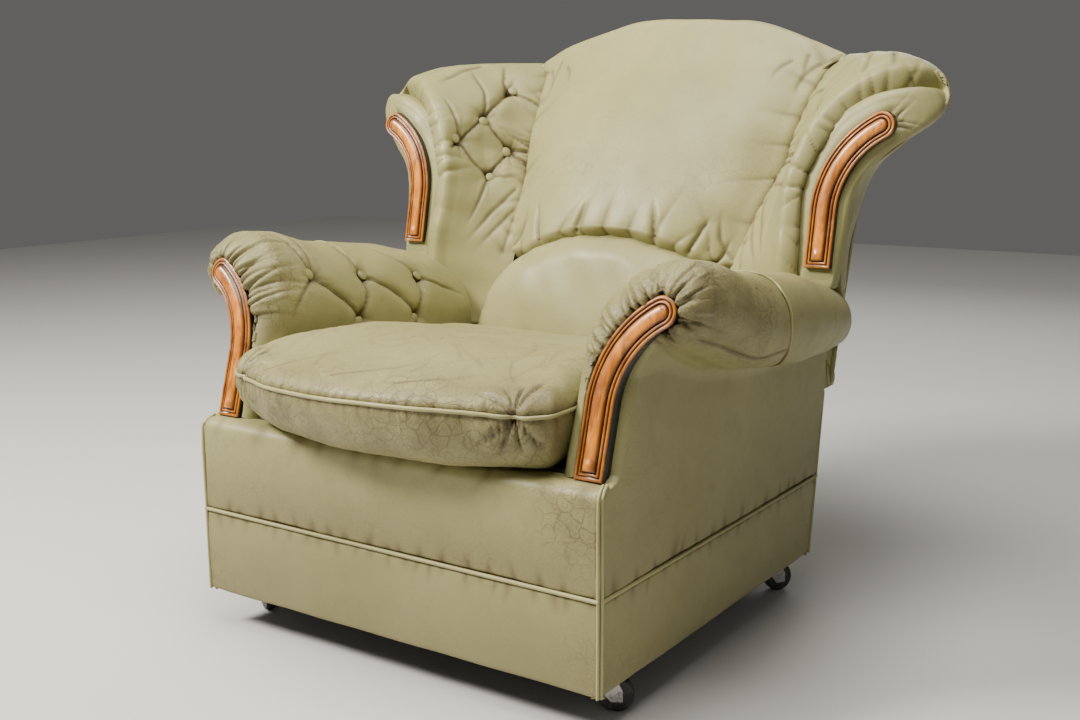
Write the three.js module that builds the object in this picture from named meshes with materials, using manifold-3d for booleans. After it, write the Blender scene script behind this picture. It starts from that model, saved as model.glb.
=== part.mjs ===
// Wing club chair on four swivel castors: timber frame, leather upholstery, moulded wood facings.
// Millimetres. +Z up, the chair faces -Y, +X is the viewer's right. Until the last line y = 0 is the front
// face of the base; there the whole chair is centred over the origin.
import * as THREE from 'three';
import Module from 'manifold-3d';
import { mergeVertices } from 'three/addons/utils/BufferGeometryUtils.js';

const wasm = await Module();
wasm.setup();

// ---- driving dimensions -------------------------------------------------------------------------------
const GAP = 0.4;                    // clearance between touching pieces

const BASE = { half: 370, bottom: 58, seam: 194, top: 342, skin: 12 };
const BASE_REAR = { y: 699, lean: 0.145 };               // rear of the base at its bottom, and how it leans
const BOARD = { thick: 18, bottom: 64, top: 318 };       // plywood boards inside the base
const BLOCK = { size: 52, height: 46 };                  // corner blocks that carry the castors
const POST = { x: 318.5, width: 20, depth: 36, top: 798 };
const REAR = { y: 780, z: 345, rake: 0.3, skin: 10 };    // outside of the back
const TOP_RAIL = { bottom: 740, below: 54, reach: 870 }; // bottom edge, gap below the crest, height at the wings
const ARM_RAIL = { bottom: 404, top: 433 };
const ARM_STUMP = { front: 118, length: 50 };
const STRAP = { count: 4, width: 50, thick: 2.5, first: 200, pitch: 134 };
const DECK = { half: 330, front: 48, rear: 640, thick: 22 };
const COVER = { bottom: 62, thick: 1.6 };

const FACING = { width: 44, rows: [0, 5, 9, 12.5], steps: [0.62, 0.78, 0.88, 1] };
const ARM_FACING = { x: 334.5, z: 344, straight: 97, radius: 140, turn: 60, thick: 25 };
const WING_FACING = { x: 410, z: 569.6, straight: 90, radius: 149, turn: 62, thick: 17 };
const ARM_FRONT = { y: 23.4, z: 339, rake: 0.29 };       // plane of the arm facing's face
const WING_FRONT = { y: 574.5, z: 569.6, rake: 0.2 };    // plane of the wing facing's face

// The arm's roll: front-to-back stations of its centre (x, z) and radius.
const ROLL = [
  { y: 45, x: 405, z: 571, r: 50 },
  { y: 62, x: 405, z: 571, r: 54 },
  { y: 160, x: 409, z: 555, r: 62 },
  { y: 256, x: 412, z: 531, r: 68 },
  { y: 353, x: 412, z: 518, r: 70 },
  { y: 463, x: 410, z: 506, r: 68 },
  { y: 556, x: 405, z: 494, r: 61 },
  { y: 640, x: 400, z: 483, r: 50 },
  { y: 690, x: 397, z: 476, r: 32 },
  { y: 706, x: 396, z: 473, r: 20 },
];

// The wing, by height: front inner edge, front outer edge, rear outer edge, joint with the back pillow.
const WING = [
  { z: 560, inner: [375, 590], outer: [436, 592], rear: [366, 840], joint: [246, 652] },
  { z: 620, inner: [369, 602], outer: [442, 604], rear: [368, 858], joint: [245, 686] },
  { z: 680, inner: [369, 614], outer: [448, 616], rear: [376, 876], joint: [257, 736] },
  { z: 720, inner: [376, 622], outer: [466, 624], rear: [390, 888], joint: [268, 770] },
  { z: 760, inner: [392, 630], outer: [504, 640], rear: [410, 900], joint: [270, 790] },
  { z: 800, inner: [424, 650], outer: [542, 668], rear: [430, 912], joint: [273, 812] },
  { z: 830, inner: [462, 680], outer: [552, 706], rear: [436, 921], joint: [280, 838] },
  { z: 862, inner: [466, 706], outer: [549, 762], rear: [430, 928], joint: [288, 862] },
  { z: 884, inner: [474, 728], outer: [526, 770], rear: [410, 926], joint: [296, 880] },
  { z: 898, inner: [470, 746], outer: [500, 768], rear: [392, 912], joint: [308, 898] },
];
const WING_SKIN = 9;
// Space between the pad and its outside skin, wider where the skin twists outwards.
const WING_LINING = { low: 8, high: 16, from: 740 };
// The wing's bottom edge falls along the arm, and its pad stays clear of the outside skin there.
const WING_FOOT = { from: 590, to: 700, fall: 0.42, top: 561, clear: 16 };
const BORDER = { thick: 12, sweep: 0.55, from: 490 };    // leather strip round the wing facing

const LUMBAR = { half: 274, base: 417, rise: 188, front: 556, rake: 0.22, bottom: 345, depth: 72 };
const CREST = { z: 985, drop: 73, half: 319, power: 2.2 };
const PILLOW_HALF = 300;

const CUSHION = { rear: 548, side: 279, front: -14, bow: 60, bottom: 344, welt: 429, top: 492 };

const CASTOR = { wheel: 24, tread: 17, bore: 3.6, trail: 20, facets: 24 };
const CASTOR_PLACES = [
  { name: 'front_right', x: 321, y: 88, turn: 32 },
  { name: 'front_left', x: -321, y: 88, turn: 150 },
  { name: 'rear_right', x: 321, y: 632, turn: 58 },
  { name: 'rear_left', x: -321, y: 632, turn: 120 },
];

// ---- materials ----------------------------------------------------------------------------------------
const finish = (color, roughness, metalness = 0) => () =>
  new THREE.MeshStandardMaterial({ color, roughness, metalness });
const LEATHER = finish(0x8f8c66, 0.5);
const WOOD = finish(0x9a5a24, 0.3);
const TIMBER = finish(0xb89a6c, 0.75);
const CLOTH = finish(0x26241f, 0.95);
const WEB = finish(0x3a3630, 0.9);
const STEEL = finish(0x8d8f90, 0.35, 0.9);
const RUBBER = finish(0x1c1c1d, 0.6);

// ---- solids -------------------------------------------------------------------------------------------
const chair = new THREE.Group();
const radians = THREE.MathUtils.degToRad;
const mix = THREE.MathUtils.lerp;

function add(name, geometry, material) {
  const mesh = new THREE.Mesh(geometry, material());
  mesh.name = name;
  chair.add(mesh);
  return mesh;
}

/** A piece on the right and its mirror image on the left. */
function addPair(name, geometry, material) {
  add(`${name}_right`, geometry, material);
  add(`${name}_left`, geometry, material).scale.x = -1;
}

function box(low, high) {
  const size = high.map((value, axis) => value - low[axis]);
  const geometry = new THREE.BoxGeometry(...size);
  geometry.translate(...low.map((value, axis) => value + size[axis] / 2));
  return geometry;
}

/** A flat outline given as [u, v] points, extruded, then placed by place(u, v, depth) -> [x, y, z]. */
function slab(points, depth, place) {
  const shape = new THREE.Shape(points.map(([u, v]) => new THREE.Vector2(u, v)));
  const geometry = new THREE.ExtrudeGeometry(shape, { depth, bevelEnabled: false, curveSegments: 8 });
  return move(geometry, place);
}

/** Moves every vertex by place(x, y, z) -> [x, y, z], and keeps the faces pointing out. */
function move(geometry, place) {
  const position = geometry.attributes.position;
  for (let i = 0; i < position.count; i += 1) {
    position.setXYZ(i, ...place(position.getX(i), position.getY(i), position.getZ(i)));
  }
  return facingOut(geometry);
}

function facingOut(geometry) {
  const position = geometry.attributes.position;
  const corner = [0, 1, 2].map(() => new THREE.Vector3());
  const order = geometry.index ? Array.from(geometry.index.array) : [...Array(position.count).keys()];
  let volume = 0;
  for (let i = 0; i < order.length; i += 3) {
    corner.forEach((point, k) => point.fromBufferAttribute(position, order[i + k]));
    volume += corner[0].dot(corner[1].clone().cross(corner[2]));
  }
  if (volume < 0) {
    for (let i = 0; i < order.length; i += 3) [order[i], order[i + 1]] = [order[i + 1], order[i]];
    geometry.setIndex(order);
  }
  return geometry;
}

/** A closed solid through outlines with the same number of points; place(u, v, k) sets outline k in space. */
function loft(outlines, place) {
  const spans = outlines.length - 1;
  const middle = outlines[Math.floor(spans / 2)];
  const shape = new THREE.Shape(middle.map(([u, v]) => new THREE.Vector2(u, v)));
  const geometry = new THREE.ExtrudeGeometry(shape, { depth: spans, steps: spans, bevelEnabled: false });
  const key = (u, v) => `${Math.fround(u)} ${Math.fround(v)}`;
  const numberOf = new Map(middle.map(([u, v], i) => [key(u, v), i]));
  return move(geometry, (u, v, w) => {
    const k = Math.round(w);
    return place(...outlines[k][numberOf.get(key(u, v))], k);
  });
}

function solid(geometry) {
  const plain = geometry.clone();
  plain.deleteAttribute('normal');
  plain.deleteAttribute('uv');
  const merged = mergeVertices(plain, 1e-3);
  return new wasm.Manifold(new wasm.Mesh({
    numProp: 3,
    vertProperties: new Float32Array(merged.attributes.position.array),
    triVerts: new Uint32Array(merged.index.array),
  }));
}

function geometryOf(manifold) {
  const mesh = manifold.getMesh();
  const geometry = new THREE.BufferGeometry();
  geometry.setAttribute('position', new THREE.BufferAttribute(new Float32Array(mesh.vertProperties), 3));
  geometry.setIndex(new THREE.BufferAttribute(new Uint32Array(mesh.triVerts), 1));
  return geometry;
}

const join = (...parts) => geometryOf(parts.map(solid).reduce((whole, part) => whole.add(part)));
const cut = (body, ...tools) => geometryOf(tools.map(solid).reduce((rest, tool) => rest.subtract(tool), solid(body)));

/** Reads a value between the rows of a table that is sorted by `by`. */
function between(table, by, at, read) {
  const last = table.length - 1;
  let row = table.findIndex((entry) => entry[by] >= at);
  if (row < 0) row = last;
  if (row === 0) row = 1;
  const share = (at - table[row - 1][by]) / (table[row][by] - table[row - 1][by]);
  return mix(read(table[row - 1]), read(table[row]), THREE.MathUtils.clamp(share, 0, 1));
}

const baseRear = (z) => BASE_REAR.y + BASE_REAR.lean * (z - BASE.bottom);
const backRear = (z) => REAR.y + REAR.rake * (z - REAR.z);
const crest = (x) => CREST.z - CREST.drop * (Math.abs(x) / CREST.half) ** CREST.power;

// ---- timber frame -------------------------------------------------------------------------------------
const INSIDE = BASE.half - BASE.skin - GAP;              // inner face of the side leather
const BOARD_IN = INSIDE - BOARD.thick;
const FRONT_BOARD = { front: BASE.skin + GAP, rear: BASE.skin + GAP + BOARD.thick };
const boardRear = (z) => baseRear(z) - 8 - GAP;

/** A side view outline as [y, z] points, standing between x = from and x = to. */
const standing = (points, from, to) => slab(points, to - from, (y, z, depth) => [from + depth, y, z]);

function postRear(z) {
  const foot = boardRear(z) - BOARD.thick - GAP;
  const knee = boardRear(BOARD.top) - BOARD.thick - GAP;
  return z > BOARD.top ? knee + REAR.rake * (z - BOARD.top) : foot;
}

function addFrame() {
  add('front_board', box([-INSIDE, FRONT_BOARD.front, BOARD.bottom], [INSIDE, FRONT_BOARD.rear, BOARD.top]), TIMBER);
  const boardFront = FRONT_BOARD.rear + GAP;
  addPair('side_board', standing([
    [boardFront, BOARD.bottom], [boardRear(BOARD.bottom), BOARD.bottom],
    [boardRear(BOARD.top), BOARD.top], [boardFront, BOARD.top],
  ], BOARD_IN, INSIDE), TIMBER);
  const sideGap = BOARD_IN - GAP;
  add('back_board', standing([
    [boardRear(BOARD.bottom) - BOARD.thick, BOARD.bottom], [boardRear(BOARD.bottom), BOARD.bottom],
    [boardRear(BOARD.top), BOARD.top], [boardRear(BOARD.top) - BOARD.thick, BOARD.top],
  ], -sideGap, sideGap), TIMBER);

  const blockTop = BOARD.bottom + BLOCK.height;
  const blockIn = sideGap - BLOCK.size;
  const frontBlock = box([blockIn, boardFront, BOARD.bottom], [sideGap, boardFront + BLOCK.size * 1.4, blockTop]);
  addPair('front_corner_block', frontBlock, TIMBER);
  const rearBlockEnd = postRear(BOARD.bottom) - POST.depth - GAP;
  const rearBlock = box([blockIn, rearBlockEnd - BLOCK.size * 0.7, BOARD.bottom], [sideGap, rearBlockEnd, blockTop]);
  addPair('rear_corner_block', rearBlock, TIMBER);

  addPair('back_post', standing(postOutline(0), POST.x, POST.x + POST.width), TIMBER);
  const stumpRear = ARM_STUMP.front + ARM_STUMP.length;
  addPair('arm_stump', box([BOARD_IN, ARM_STUMP.front, BOARD.top + GAP],
    [INSIDE, stumpRear, ARM_RAIL.bottom - GAP]), TIMBER);
  addPair('arm_rail', box([BOARD_IN, ARM_STUMP.front, ARM_RAIL.bottom],
    [INSIDE, 690, ARM_RAIL.top]), TIMBER);
  addTopRail();
}

function postOutline(grow) {
  const front = (z) => postRear(z) - POST.depth - grow;
  const rear = (z) => postRear(z) + grow;
  const heights = [BOARD.bottom - grow, BOARD.top, POST.top + grow];
  return [...heights.map((z) => [front(z), z]), ...heights.reverse().map((z) => [rear(z), z])];
}

/** The arched board that joins the two back posts and carries the top of the pillow. */
function addTopRail() {
  const half = POST.x + POST.width;
  const { bottom, below } = TOP_RAIL;
  const arch = [];
  for (let i = 0; i <= 12; i += 1) {
    const x = mix(half, -half, i / 12);
    arch.push([x, crest(x) - below]);
  }
  const place = (x, z, depth) => [x, postRear(z) + GAP + depth, z];
  add('back_top_rail', slab([[-half, bottom], [half, bottom], ...arch], BOARD.thick, place), TIMBER);
}

// ---- seat ---------------------------------------------------------------------------------------------
function addSeat() {
  const strapBottom = BOARD.top + GAP;
  const strapHalf = BOARD_IN + 12;
  for (let i = 0; i < STRAP.count; i += 1) {
    const y = STRAP.first + i * STRAP.pitch;
    const low = [-strapHalf, y - STRAP.width / 2, strapBottom];
    const high = [strapHalf, y + STRAP.width / 2, strapBottom + STRAP.thick];
    add(`seat_strap_${i + 1}`, box(low, high), WEB);
  }
  const deckBottom = strapBottom + STRAP.thick + GAP;
  add('seat_deck', box([-DECK.half, DECK.front, deckBottom], [DECK.half, DECK.rear, BASE.top + 1.4]), CLOTH);
  add('seat_cushion', cushion(), LEATHER);
  add('bottom_cover', box([-INSIDE, BASE.skin + GAP, COVER.bottom],
    [INSIDE, boardRear(BASE.bottom), COVER.bottom + COVER.thick]), CLOTH);
}

/** The cushion's outline seen from above, drawn in by `inset` all round. */
function cushionOutline(inset) {
  const side = CUSHION.side - inset;
  const rear = CUSHION.rear - inset;
  const points = [];
  for (let i = 0; i <= 12; i += 1) {
    const angle = mix(200, 340, i / 12);
    const x = 1.064 * side * Math.cos(radians(angle));
    const depth = CUSHION.bow + 34;
    points.push([x, CUSHION.front + 34 + inset + depth * Math.sin(radians(angle)) * 1.0]);
  }
  points.push([side, rear - 40], [side - 16, rear - 10], [side - 50, rear]);
  points.push([50 - side, rear], [16 - side, rear - 10], [-side, rear - 40]);
  return points;
}

function cushion() {
  const { bottom, welt, top } = CUSHION;
  const rows = [
    [bottom, 34], [bottom + 12, 16], [mix(bottom, welt, 0.5), 4], [welt, 0],
    [mix(welt, top, 0.4), 9], [mix(welt, top, 0.75), 34], [mix(welt, top, 0.93), 80], [top, 140],
  ];
  return loft(rows.map(([, inset]) => cushionOutline(inset)), (x, y, k) => [x, y, rows[k][0]]);
}

// ---- base upholstery ----------------------------------------------------------------------------------
const SEAM = { below: BASE.seam - 2.5, above: BASE.seam + 2.5 };

function addBase() {
  const { bottom, top, half, skin } = BASE;
  const front = (points) => standing(points, -INSIDE, INSIDE);
  add('front_border', front([[1, bottom], [skin, bottom], [skin, SEAM.below], [1, SEAM.below]]), LEATHER);
  add('front_panel', front([
    [1, SEAM.above], [skin, SEAM.above], [skin, BOARD.top + GAP], [44, BOARD.top + GAP],
    [44, top], [22, top + 1], [8, top - 4], [0, top - 16],
  ]), LEATHER);

  addPair('side_border', standing([
    [0, bottom], [baseRear(bottom), bottom], [baseRear(SEAM.below), SEAM.below], [0, SEAM.below],
  ], half - skin, half), LEATHER);
  const roof = ARM_RAIL.top + 1;
  const step = ARM_STUMP.front - 6.6;
  addPair('outside_arm_panel', standing([
    [0, SEAM.above], [baseRear(SEAM.above), SEAM.above], [baseRear(top), top + 1], [708, roof], [step, roof],
    [step, top + 1.6], [10, top + 1.6], [0, top - 10],
  ], half - skin, half), LEATHER);

  const rearHalf = INSIDE;
  add('base_back_panel', standing([
    [baseRear(bottom) - 8, bottom], [baseRear(bottom), bottom], [baseRear(top), top], [baseRear(top) - 8, top],
  ], -rearHalf, rearHalf), LEATHER);
}

// ---- arms ---------------------------------------------------------------------------------------------
/** The arm's section at station y: up its inner face, over the roll and back under it, as [x, z] points. */
function armOutline(y) {
  const read = (name) => between(ROLL, 'y', y, (row) => row[name]);
  const [x, z, r] = [read('x'), read('z'), read('r')];
  const topZ = z + r;
  const wallX = between([{ y: 45, x: 279 }, { y: 160, x: 283 }, { y: 706, x: 288 }], 'y', y, (row) => row.x);
  const floor = BASE.top + 2.4;
  const shoulder = mix(floor, topZ, 0.45);
  const points = [[wallX, floor], [wallX + 1, mix(floor, shoulder, 0.6)]];
  for (let i = 0; i < 8; i += 1) {
    const angle = radians(mix(180, 90, i / 8));
    points.push([x + (x - wallX - 2) * Math.cos(angle), shoulder + (topZ - shoulder) * Math.sin(angle)]);
  }
  for (let i = 0; i <= 9; i += 1) {
    const angle = radians(mix(90, -90, i / 9));
    points.push([x + r * Math.cos(angle), z + r * Math.sin(angle)]);
  }
  const wallOut = BASE.half - GAP;
  const cove = z - r - 4;
  points.push([mix(wallOut, x, 0.4), cove], [wallOut, Math.max(cove - 8, ARM_RAIL.top + 3)], [wallOut, floor]);
  return points;
}

/** The front of the arm leans back with its facing; the lean fades out along the arm. */
function leanArm(x, z, y) {
  const lean = ARM_FRONT.rake * (z - ARM_FRONT.z);
  const fade = THREE.MathUtils.clamp(1 - (y - ROLL[0].y) / 240, 0, 1);
  return [x, y + lean * fade, z];
}

function addArms() {
  const outlines = ROLL.map((row) => armOutline(row.y));
  const whole = loft(outlines, (x, z, k) => leanArm(x, z, ROLL[k].y));
  const hollow = box([BOARD_IN - 1, ARM_STUMP.front - 7, 300], [BASE.half + 5, 800, ARM_RAIL.top + 1.4]);
  const post = standing(postOutline(1), POST.x - 1, BASE.half + 5);
  addPair('arm_pad', cut(whole, hollow, post), LEATHER);
}

// ---- wood facings -------------------------------------------------------------------------------------
/** The facing's outline, drawn in by `inset`: a straight foot, a bend outwards and a round end. */
function facingOutline({ x, z, straight, radius, turn }, inset) {
  const half = FACING.width / 2 - inset;
  const side = (offset) => {
    const points = [[x + offset, z + inset]];
    for (let i = 0; i <= 7; i += 1) {
      const angle = radians((turn * i) / 7);
      points.push([
        x + radius - (radius - offset) * Math.cos(angle),
        z + straight + (radius - offset) * Math.sin(angle),
      ]);
    }
    return points;
  };
  const end = [];
  const turned = radians(turn);
  const tip = [x + radius * (1 - Math.cos(turned)), z + straight + radius * Math.sin(turned)];
  for (let i = 1; i < 7; i += 1) {
    const angle = radians(-turn) + Math.PI * (1 - i / 7);
    end.push([tip[0] + half * Math.cos(angle), tip[1] + half * Math.sin(angle)]);
  }
  return [...side(-half), ...end, ...side(half).reverse()];
}

/** A moulded facing: steps that rise from the edge to the middle, leaning back with its plane. */
function facing(form, plane) {
  const onPlane = (depth) => (x, z, out) => [x, plane.y + plane.rake * (z - plane.z) + depth - out, z];
  const layers = FACING.rows.map((inset, i) => {
    const height = form.thick * FACING.steps[i];
    return slab(facingOutline(form, inset), height, onPlane(form.thick));
  });
  return join(...layers);
}

function addFacings() {
  addPair('arm_facing', facing(ARM_FACING, { ...ARM_FRONT, y: ARM_FRONT.y - 5 }), WOOD);
  addPair('wing_facing', facing(WING_FACING, WING_FRONT), WOOD);
}

// ---- wings --------------------------------------------------------------------------------------------
/** The wing border's face lies behind the facing, and sweeps back where the wing rolls outwards. */
function borderFront(x, z) {
  const swept = BORDER.sweep * Math.max(0, x - BORDER.from);
  return WING_FRONT.y + WING_FRONT.rake * (z - WING_FRONT.z) + WING_FACING.thick + GAP + swept;
}

/** The wing's four corners at height z, the front two kept behind the border. */
function wingAt(z) {
  const read = (name) => [0, 1].map((axis) => between(WING, 'z', z, (row) => row[name][axis]));
  const behind = ([x, y]) => [x, Math.max(y, borderFront(x, z) + BORDER.thick + 3)];
  return { inner: behind(read('inner')), outer: behind(read('outer')), rear: read('rear'), joint: read('joint') };
}

/** The point at `share` of the way between two points, moved `out` to the right of that way. */
function towards(from, to, share, out = 0) {
  const [dx, dy] = [to[0] - from[0], to[1] - from[1]];
  const length = Math.hypot(dx, dy);
  return [from[0] + dx * share + (out * dy) / length, from[1] + dy * share - (out * dx) / length];
}

/** The height of a point on the outline at z: the lowest ones fall towards the rear, along the arm's roll. */
function footed(y, z) {
  const behind = Math.min(y, WING_FOOT.to) - WING_FOOT.from;
  return z > 500 && z < WING_FOOT.top ? z - WING_FOOT.fall * Math.max(0, behind) : z;
}

/** The outside of the wing at height z, front to rear; below the wing it is the side of the back. */
function outsideLine(z) {
  const low = WING[0].z;
  const rearY = backRear(footed(WING_FOOT.to, z)) - REAR.skin - GAP;
  if (z < low) {
    const front = [368, 716 + 0.13 * (low - z)];
    return [front, towards(front, [366, rearY], 0.5), [366, rearY]];
  }
  const { outer, rear } = wingAt(z);
  const middle = towards(outer, [rear[0], rearY], 0.5);
  return [outer, [middle[0] + 8, middle[1]], [rear[0], rearY]];
}

const inwards = (line, by) => line.map(([x, y]) => [x - by, y]);

/** The skin inside the outside line, from the base up to the roll. */
function outsideSkin() {
  const heights = [REAR.z, 430, 552, ...WING.map((row) => row.z).filter((z) => z < 865)];
  const skins = heights.map(outsideLine).map((line) => [...line, ...inwards(line, WING_SKIN).reverse()]);
  return loft(skins, (x, y, k) => [x, y, footed(y, heights[k])]);
}

/** The tufted pad: front, outside, rear, round the back post, and the padded inner face. */
function wingPadOutline({ z }) {
  const { inner, outer, joint } = wingAt(z);
  const lining = z < WING_LINING.from ? WING_LINING.low : WING_LINING.high;
  const [front, middle, rear] = inwards(outsideLine(z), WING_SKIN + lining);
  const postSide = POST.x + POST.width + 2;
  const beforeRail = z < TOP_RAIL.reach ? Math.min(joint[1] + 24, postRear(z) - 2) : joint[1] + 6;
  const shelf = z < POST.top + 5 ? postRear(footed(WING_FOOT.to, z)) - POST.depth - 2 : beforeRail;
  return [
    [inner[0] + 2, inner[1]], towards(inner, outer, 0.5), front, middle, rear,
    [postSide, rear[1]], [postSide, shelf], [joint[0] + 14, shelf], [joint[0] + 2, joint[1]],
    towards(joint, inner, 0.3, 16), towards(joint, inner, 0.65, 20),
  ];
}

function addWings() {
  const pad = loft(WING.map(wingPadOutline), (x, y, k) => [x, y, footed(y, WING[k].z) + (k ? 0 : WING_FOOT.clear)]);
  addPair('wing_pad', pad, LEATHER);
  addPair('outside_wing', outsideSkin(), LEATHER);
  addWingBorder();
}

/** The leather strip round the wing facing, ending in a lobe behind its round top. */
function addWingBorder() {
  const outline = [
    [376, 561], [370, 630], [370, 699], [386, 748], [416, 797], [453, 825], [494, 838], [532, 842], [560, 836],
    [574, 820], [570, 802], [548, 790], [520, 768], [490, 744], [463, 715], [448, 678], [441, 618], [436, 561],
  ];
  const place = (x, z, out) => [x, borderFront(x, z) + out, z];
  addPair('wing_border', slab(outline, BORDER.thick, place), LEATHER);
}

// ---- back ---------------------------------------------------------------------------------------------
const lumbarTop = (x) => LUMBAR.base + LUMBAR.rise * Math.sqrt(Math.max(0, 1 - (x / LUMBAR.half) ** 2));
const stationsAcross = (half, count) =>
  Array.from({ length: count }, (_, i) => half * Math.sin(mix(-Math.PI / 2, Math.PI / 2, i / (count - 1))));

/** The lumbar pad: a half round cushion that stands on the deck behind the seat. */
function addLumbar() {
  const across = stationsAcross(LUMBAR.half, 13);
  const outlines = across.map((x) => {
    const top = lumbarTop(x);
    const swell = 26 * (1 - (Math.abs(x) / LUMBAR.half) ** 2.5);
    const front = (share) => {
      const z = mix(LUMBAR.bottom, top, share);
      return [LUMBAR.front + LUMBAR.rake * (z - LUMBAR.bottom) - swell * Math.sin(Math.PI * share) ** 0.7, z];
    };
    const rows = [0, 0.25, 0.5, 0.75, 0.92, 1].map(front);
    const lift = rows[5][0] + LUMBAR.depth;
    return [...rows, [lift, top], [LUMBAR.front + LUMBAR.depth, LUMBAR.bottom]];
  });
  add('lumbar_pad', loft(outlines, (y, z, k) => [across[k], y, z]), LEATHER);
}

/** The pillow: front swelling between the wings, gathered onto the lumbar pad, rolled over the top rail. */
function addPillow() {
  const across = stationsAcross(PILLOW_HALF, 15);
  const outlines = across.map((x) => {
    const share = Math.abs(x) / PILLOW_HALF;
    const bottom = Math.abs(x) < LUMBAR.half - 4 ? Math.max(lumbarTop(x) + 3, 556) : 556;
    const top = crest(x);
    const front = (z) => {
      const middle = 598 + 0.62 * (z - 606) + 0.0004 * (z - 606) ** 2;
      const side = between(WING, 'z', z, (row) => row.joint[1]) - 8;
      return mix(middle, side, share ** 2.4);
    };
    const rows = [0, 0.16, 0.36, 0.56, 0.74, 0.88].map((step) => mix(bottom, top, step));
    const rail = top - 40;
    const points = rows.map((z, i) => [front(z) + (i === 0 ? 14 : 0), z]);
    points.push([front(rows[5]) + 34, top - 8], [mix(front(rows[5]), backRear(top), 0.55), top]);
    points.push([backRear(top) - 22, top - 10], [backRear(rail) - REAR.skin - 1, rail]);
    points.push([postRear(rail) - 4, rail], [postRear(bottom) - POST.depth - 6, bottom]);
    return points;
  });
  const limit = (x, z) => Math.min(Math.abs(x), between(WING, 'z', z, (row) => row.joint[0]) - 10) * Math.sign(x);
  add('back_pillow', loft(outlines, (y, z, k) => [limit(across[k], z), y, z]), LEATHER);
}

/** The flat outside of the back, as wide as the wings' rear edges, arched along its top. */
function addOutsideBack() {
  const half = (z) => between([{ z: REAR.z, x: 366 }, ...WING.map((row) => ({ z: row.z, x: row.rear[0] }))], 'z', z,
    (row) => row.x) + 1;
  const sides = [REAR.z, 560, 680, 740, 800, 850, 880].map((z) => [half(z), z]);
  const arch = [];
  for (let i = 0; i <= 12; i += 1) {
    const x = mix(330, -330, i / 12);
    arch.push([x, crest(x) - 48 + (Math.abs(x) > 300 ? 12 : 0)]);
  }
  const outline = [...sides, ...arch, ...sides.map(([x, z]) => [-x, z]).reverse()];
  add('outside_back', slab(outline, REAR.skin, (x, z, out) => [x, backRear(z) - REAR.skin + out, z]), LEATHER);
}

// ---- castors ------------------------------------------------------------------------------------------
/** A flat-sided disc about the axle's direction (local x), one facet flat on the floor. */
function disc(radius, width, facets, at) {
  const flat = radius / Math.cos(Math.PI / facets);
  const geometry = new THREE.CylinderGeometry(flat, flat, width, facets);
  geometry.rotateZ(Math.PI / 2);
  geometry.rotateX(Math.PI / facets);
  geometry.translate(at[0], at[1], at[2]);
  return geometry;
}

/** The pieces of one castor in its own frame: swivel axis on z, trailing along +y. */
function castorPieces() {
  const { wheel, tread, bore, trail, facets } = CASTOR;
  const hub = [0, trail, wheel];
  const crown = { bottom: wheel * 2 + 1.2, top: wheel * 2 + 6, radius: 17 };
  const turned = (geometry) => geometry.rotateX(Math.PI / 2);

  const ring = turned(new THREE.CylinderGeometry(crown.radius, crown.radius, crown.top - crown.bottom, 20));
  ring.translate(0, 0, (crown.top + crown.bottom) / 2);
  const hole = turned(new THREE.CylinderGeometry(5.5, 5.5, 30, 16));
  hole.translate(0, 0, crown.top);
  const legX = tread / 2 + 1.2;
  const leg = (side) => move(
    slab([[-12, crown.top], [-12, crown.bottom - 6], [trail - 8, wheel - 8], [trail + 8, wheel - 8],
      [trail + 8, wheel + 8], [16, crown.top]], 2.4, (y, z, depth) => [side * (legX + depth), y, z]),
    (x, y, z) => [x, y, z]);
  const bridge = box([-legX - 2.4, -12, crown.bottom], [legX + 2.4, 14, crown.top]);
  const axleHole = disc(bore, 60, 16, hub);
  const fork = cut(join(ring, leg(1), leg(-1), bridge), hole, axleHole);

  const plate = box([-22, -22, crown.top + GAP], [22, 22, crown.top + 3]);
  const stem = turned(new THREE.CylinderGeometry(5, 5, crown.top - crown.bottom + 2, 16));
  stem.translate(0, 0, (crown.top + crown.bottom) / 2 + 0.6);
  return {
    plate: join(plate, stem),
    fork,
    axle: disc(bore - GAP, 2 * legX + 6.4, 12, hub),
    wheel: cut(join(disc(wheel, tread - 5, facets, hub), disc(wheel - 1.4, tread, facets, hub)),
      disc(bore, 60, 16, hub)),
  };
}

function addCastors() {
  const finishes = { plate: STEEL, fork: STEEL, axle: STEEL, wheel: RUBBER };
  for (const place of CASTOR_PLACES) {
    const pieces = castorPieces();
    for (const [name, geometry] of Object.entries(pieces)) {
      const mesh = add(`castor_${name}_${place.name}`, geometry, finishes[name]);
      mesh.position.set(place.x, place.y, 0);
      mesh.rotation.z = name === 'plate' ? 0 : radians(place.turn - 90);
    }
  }
}

addFrame();
addSeat();
addBase();
addArms();
addFacings();
addWings();
addLumbar();
addPillow();
addOutsideBack();
addCastors();

chair.updateMatrixWorld(true);
const extent = new THREE.Box3().setFromObject(chair);
chair.position.y = -(extent.min.y + extent.max.y) / 2;

export default chair;
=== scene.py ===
import math

import bmesh
import bpy
import numpy as np
from mathutils import Matrix, Vector


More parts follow.
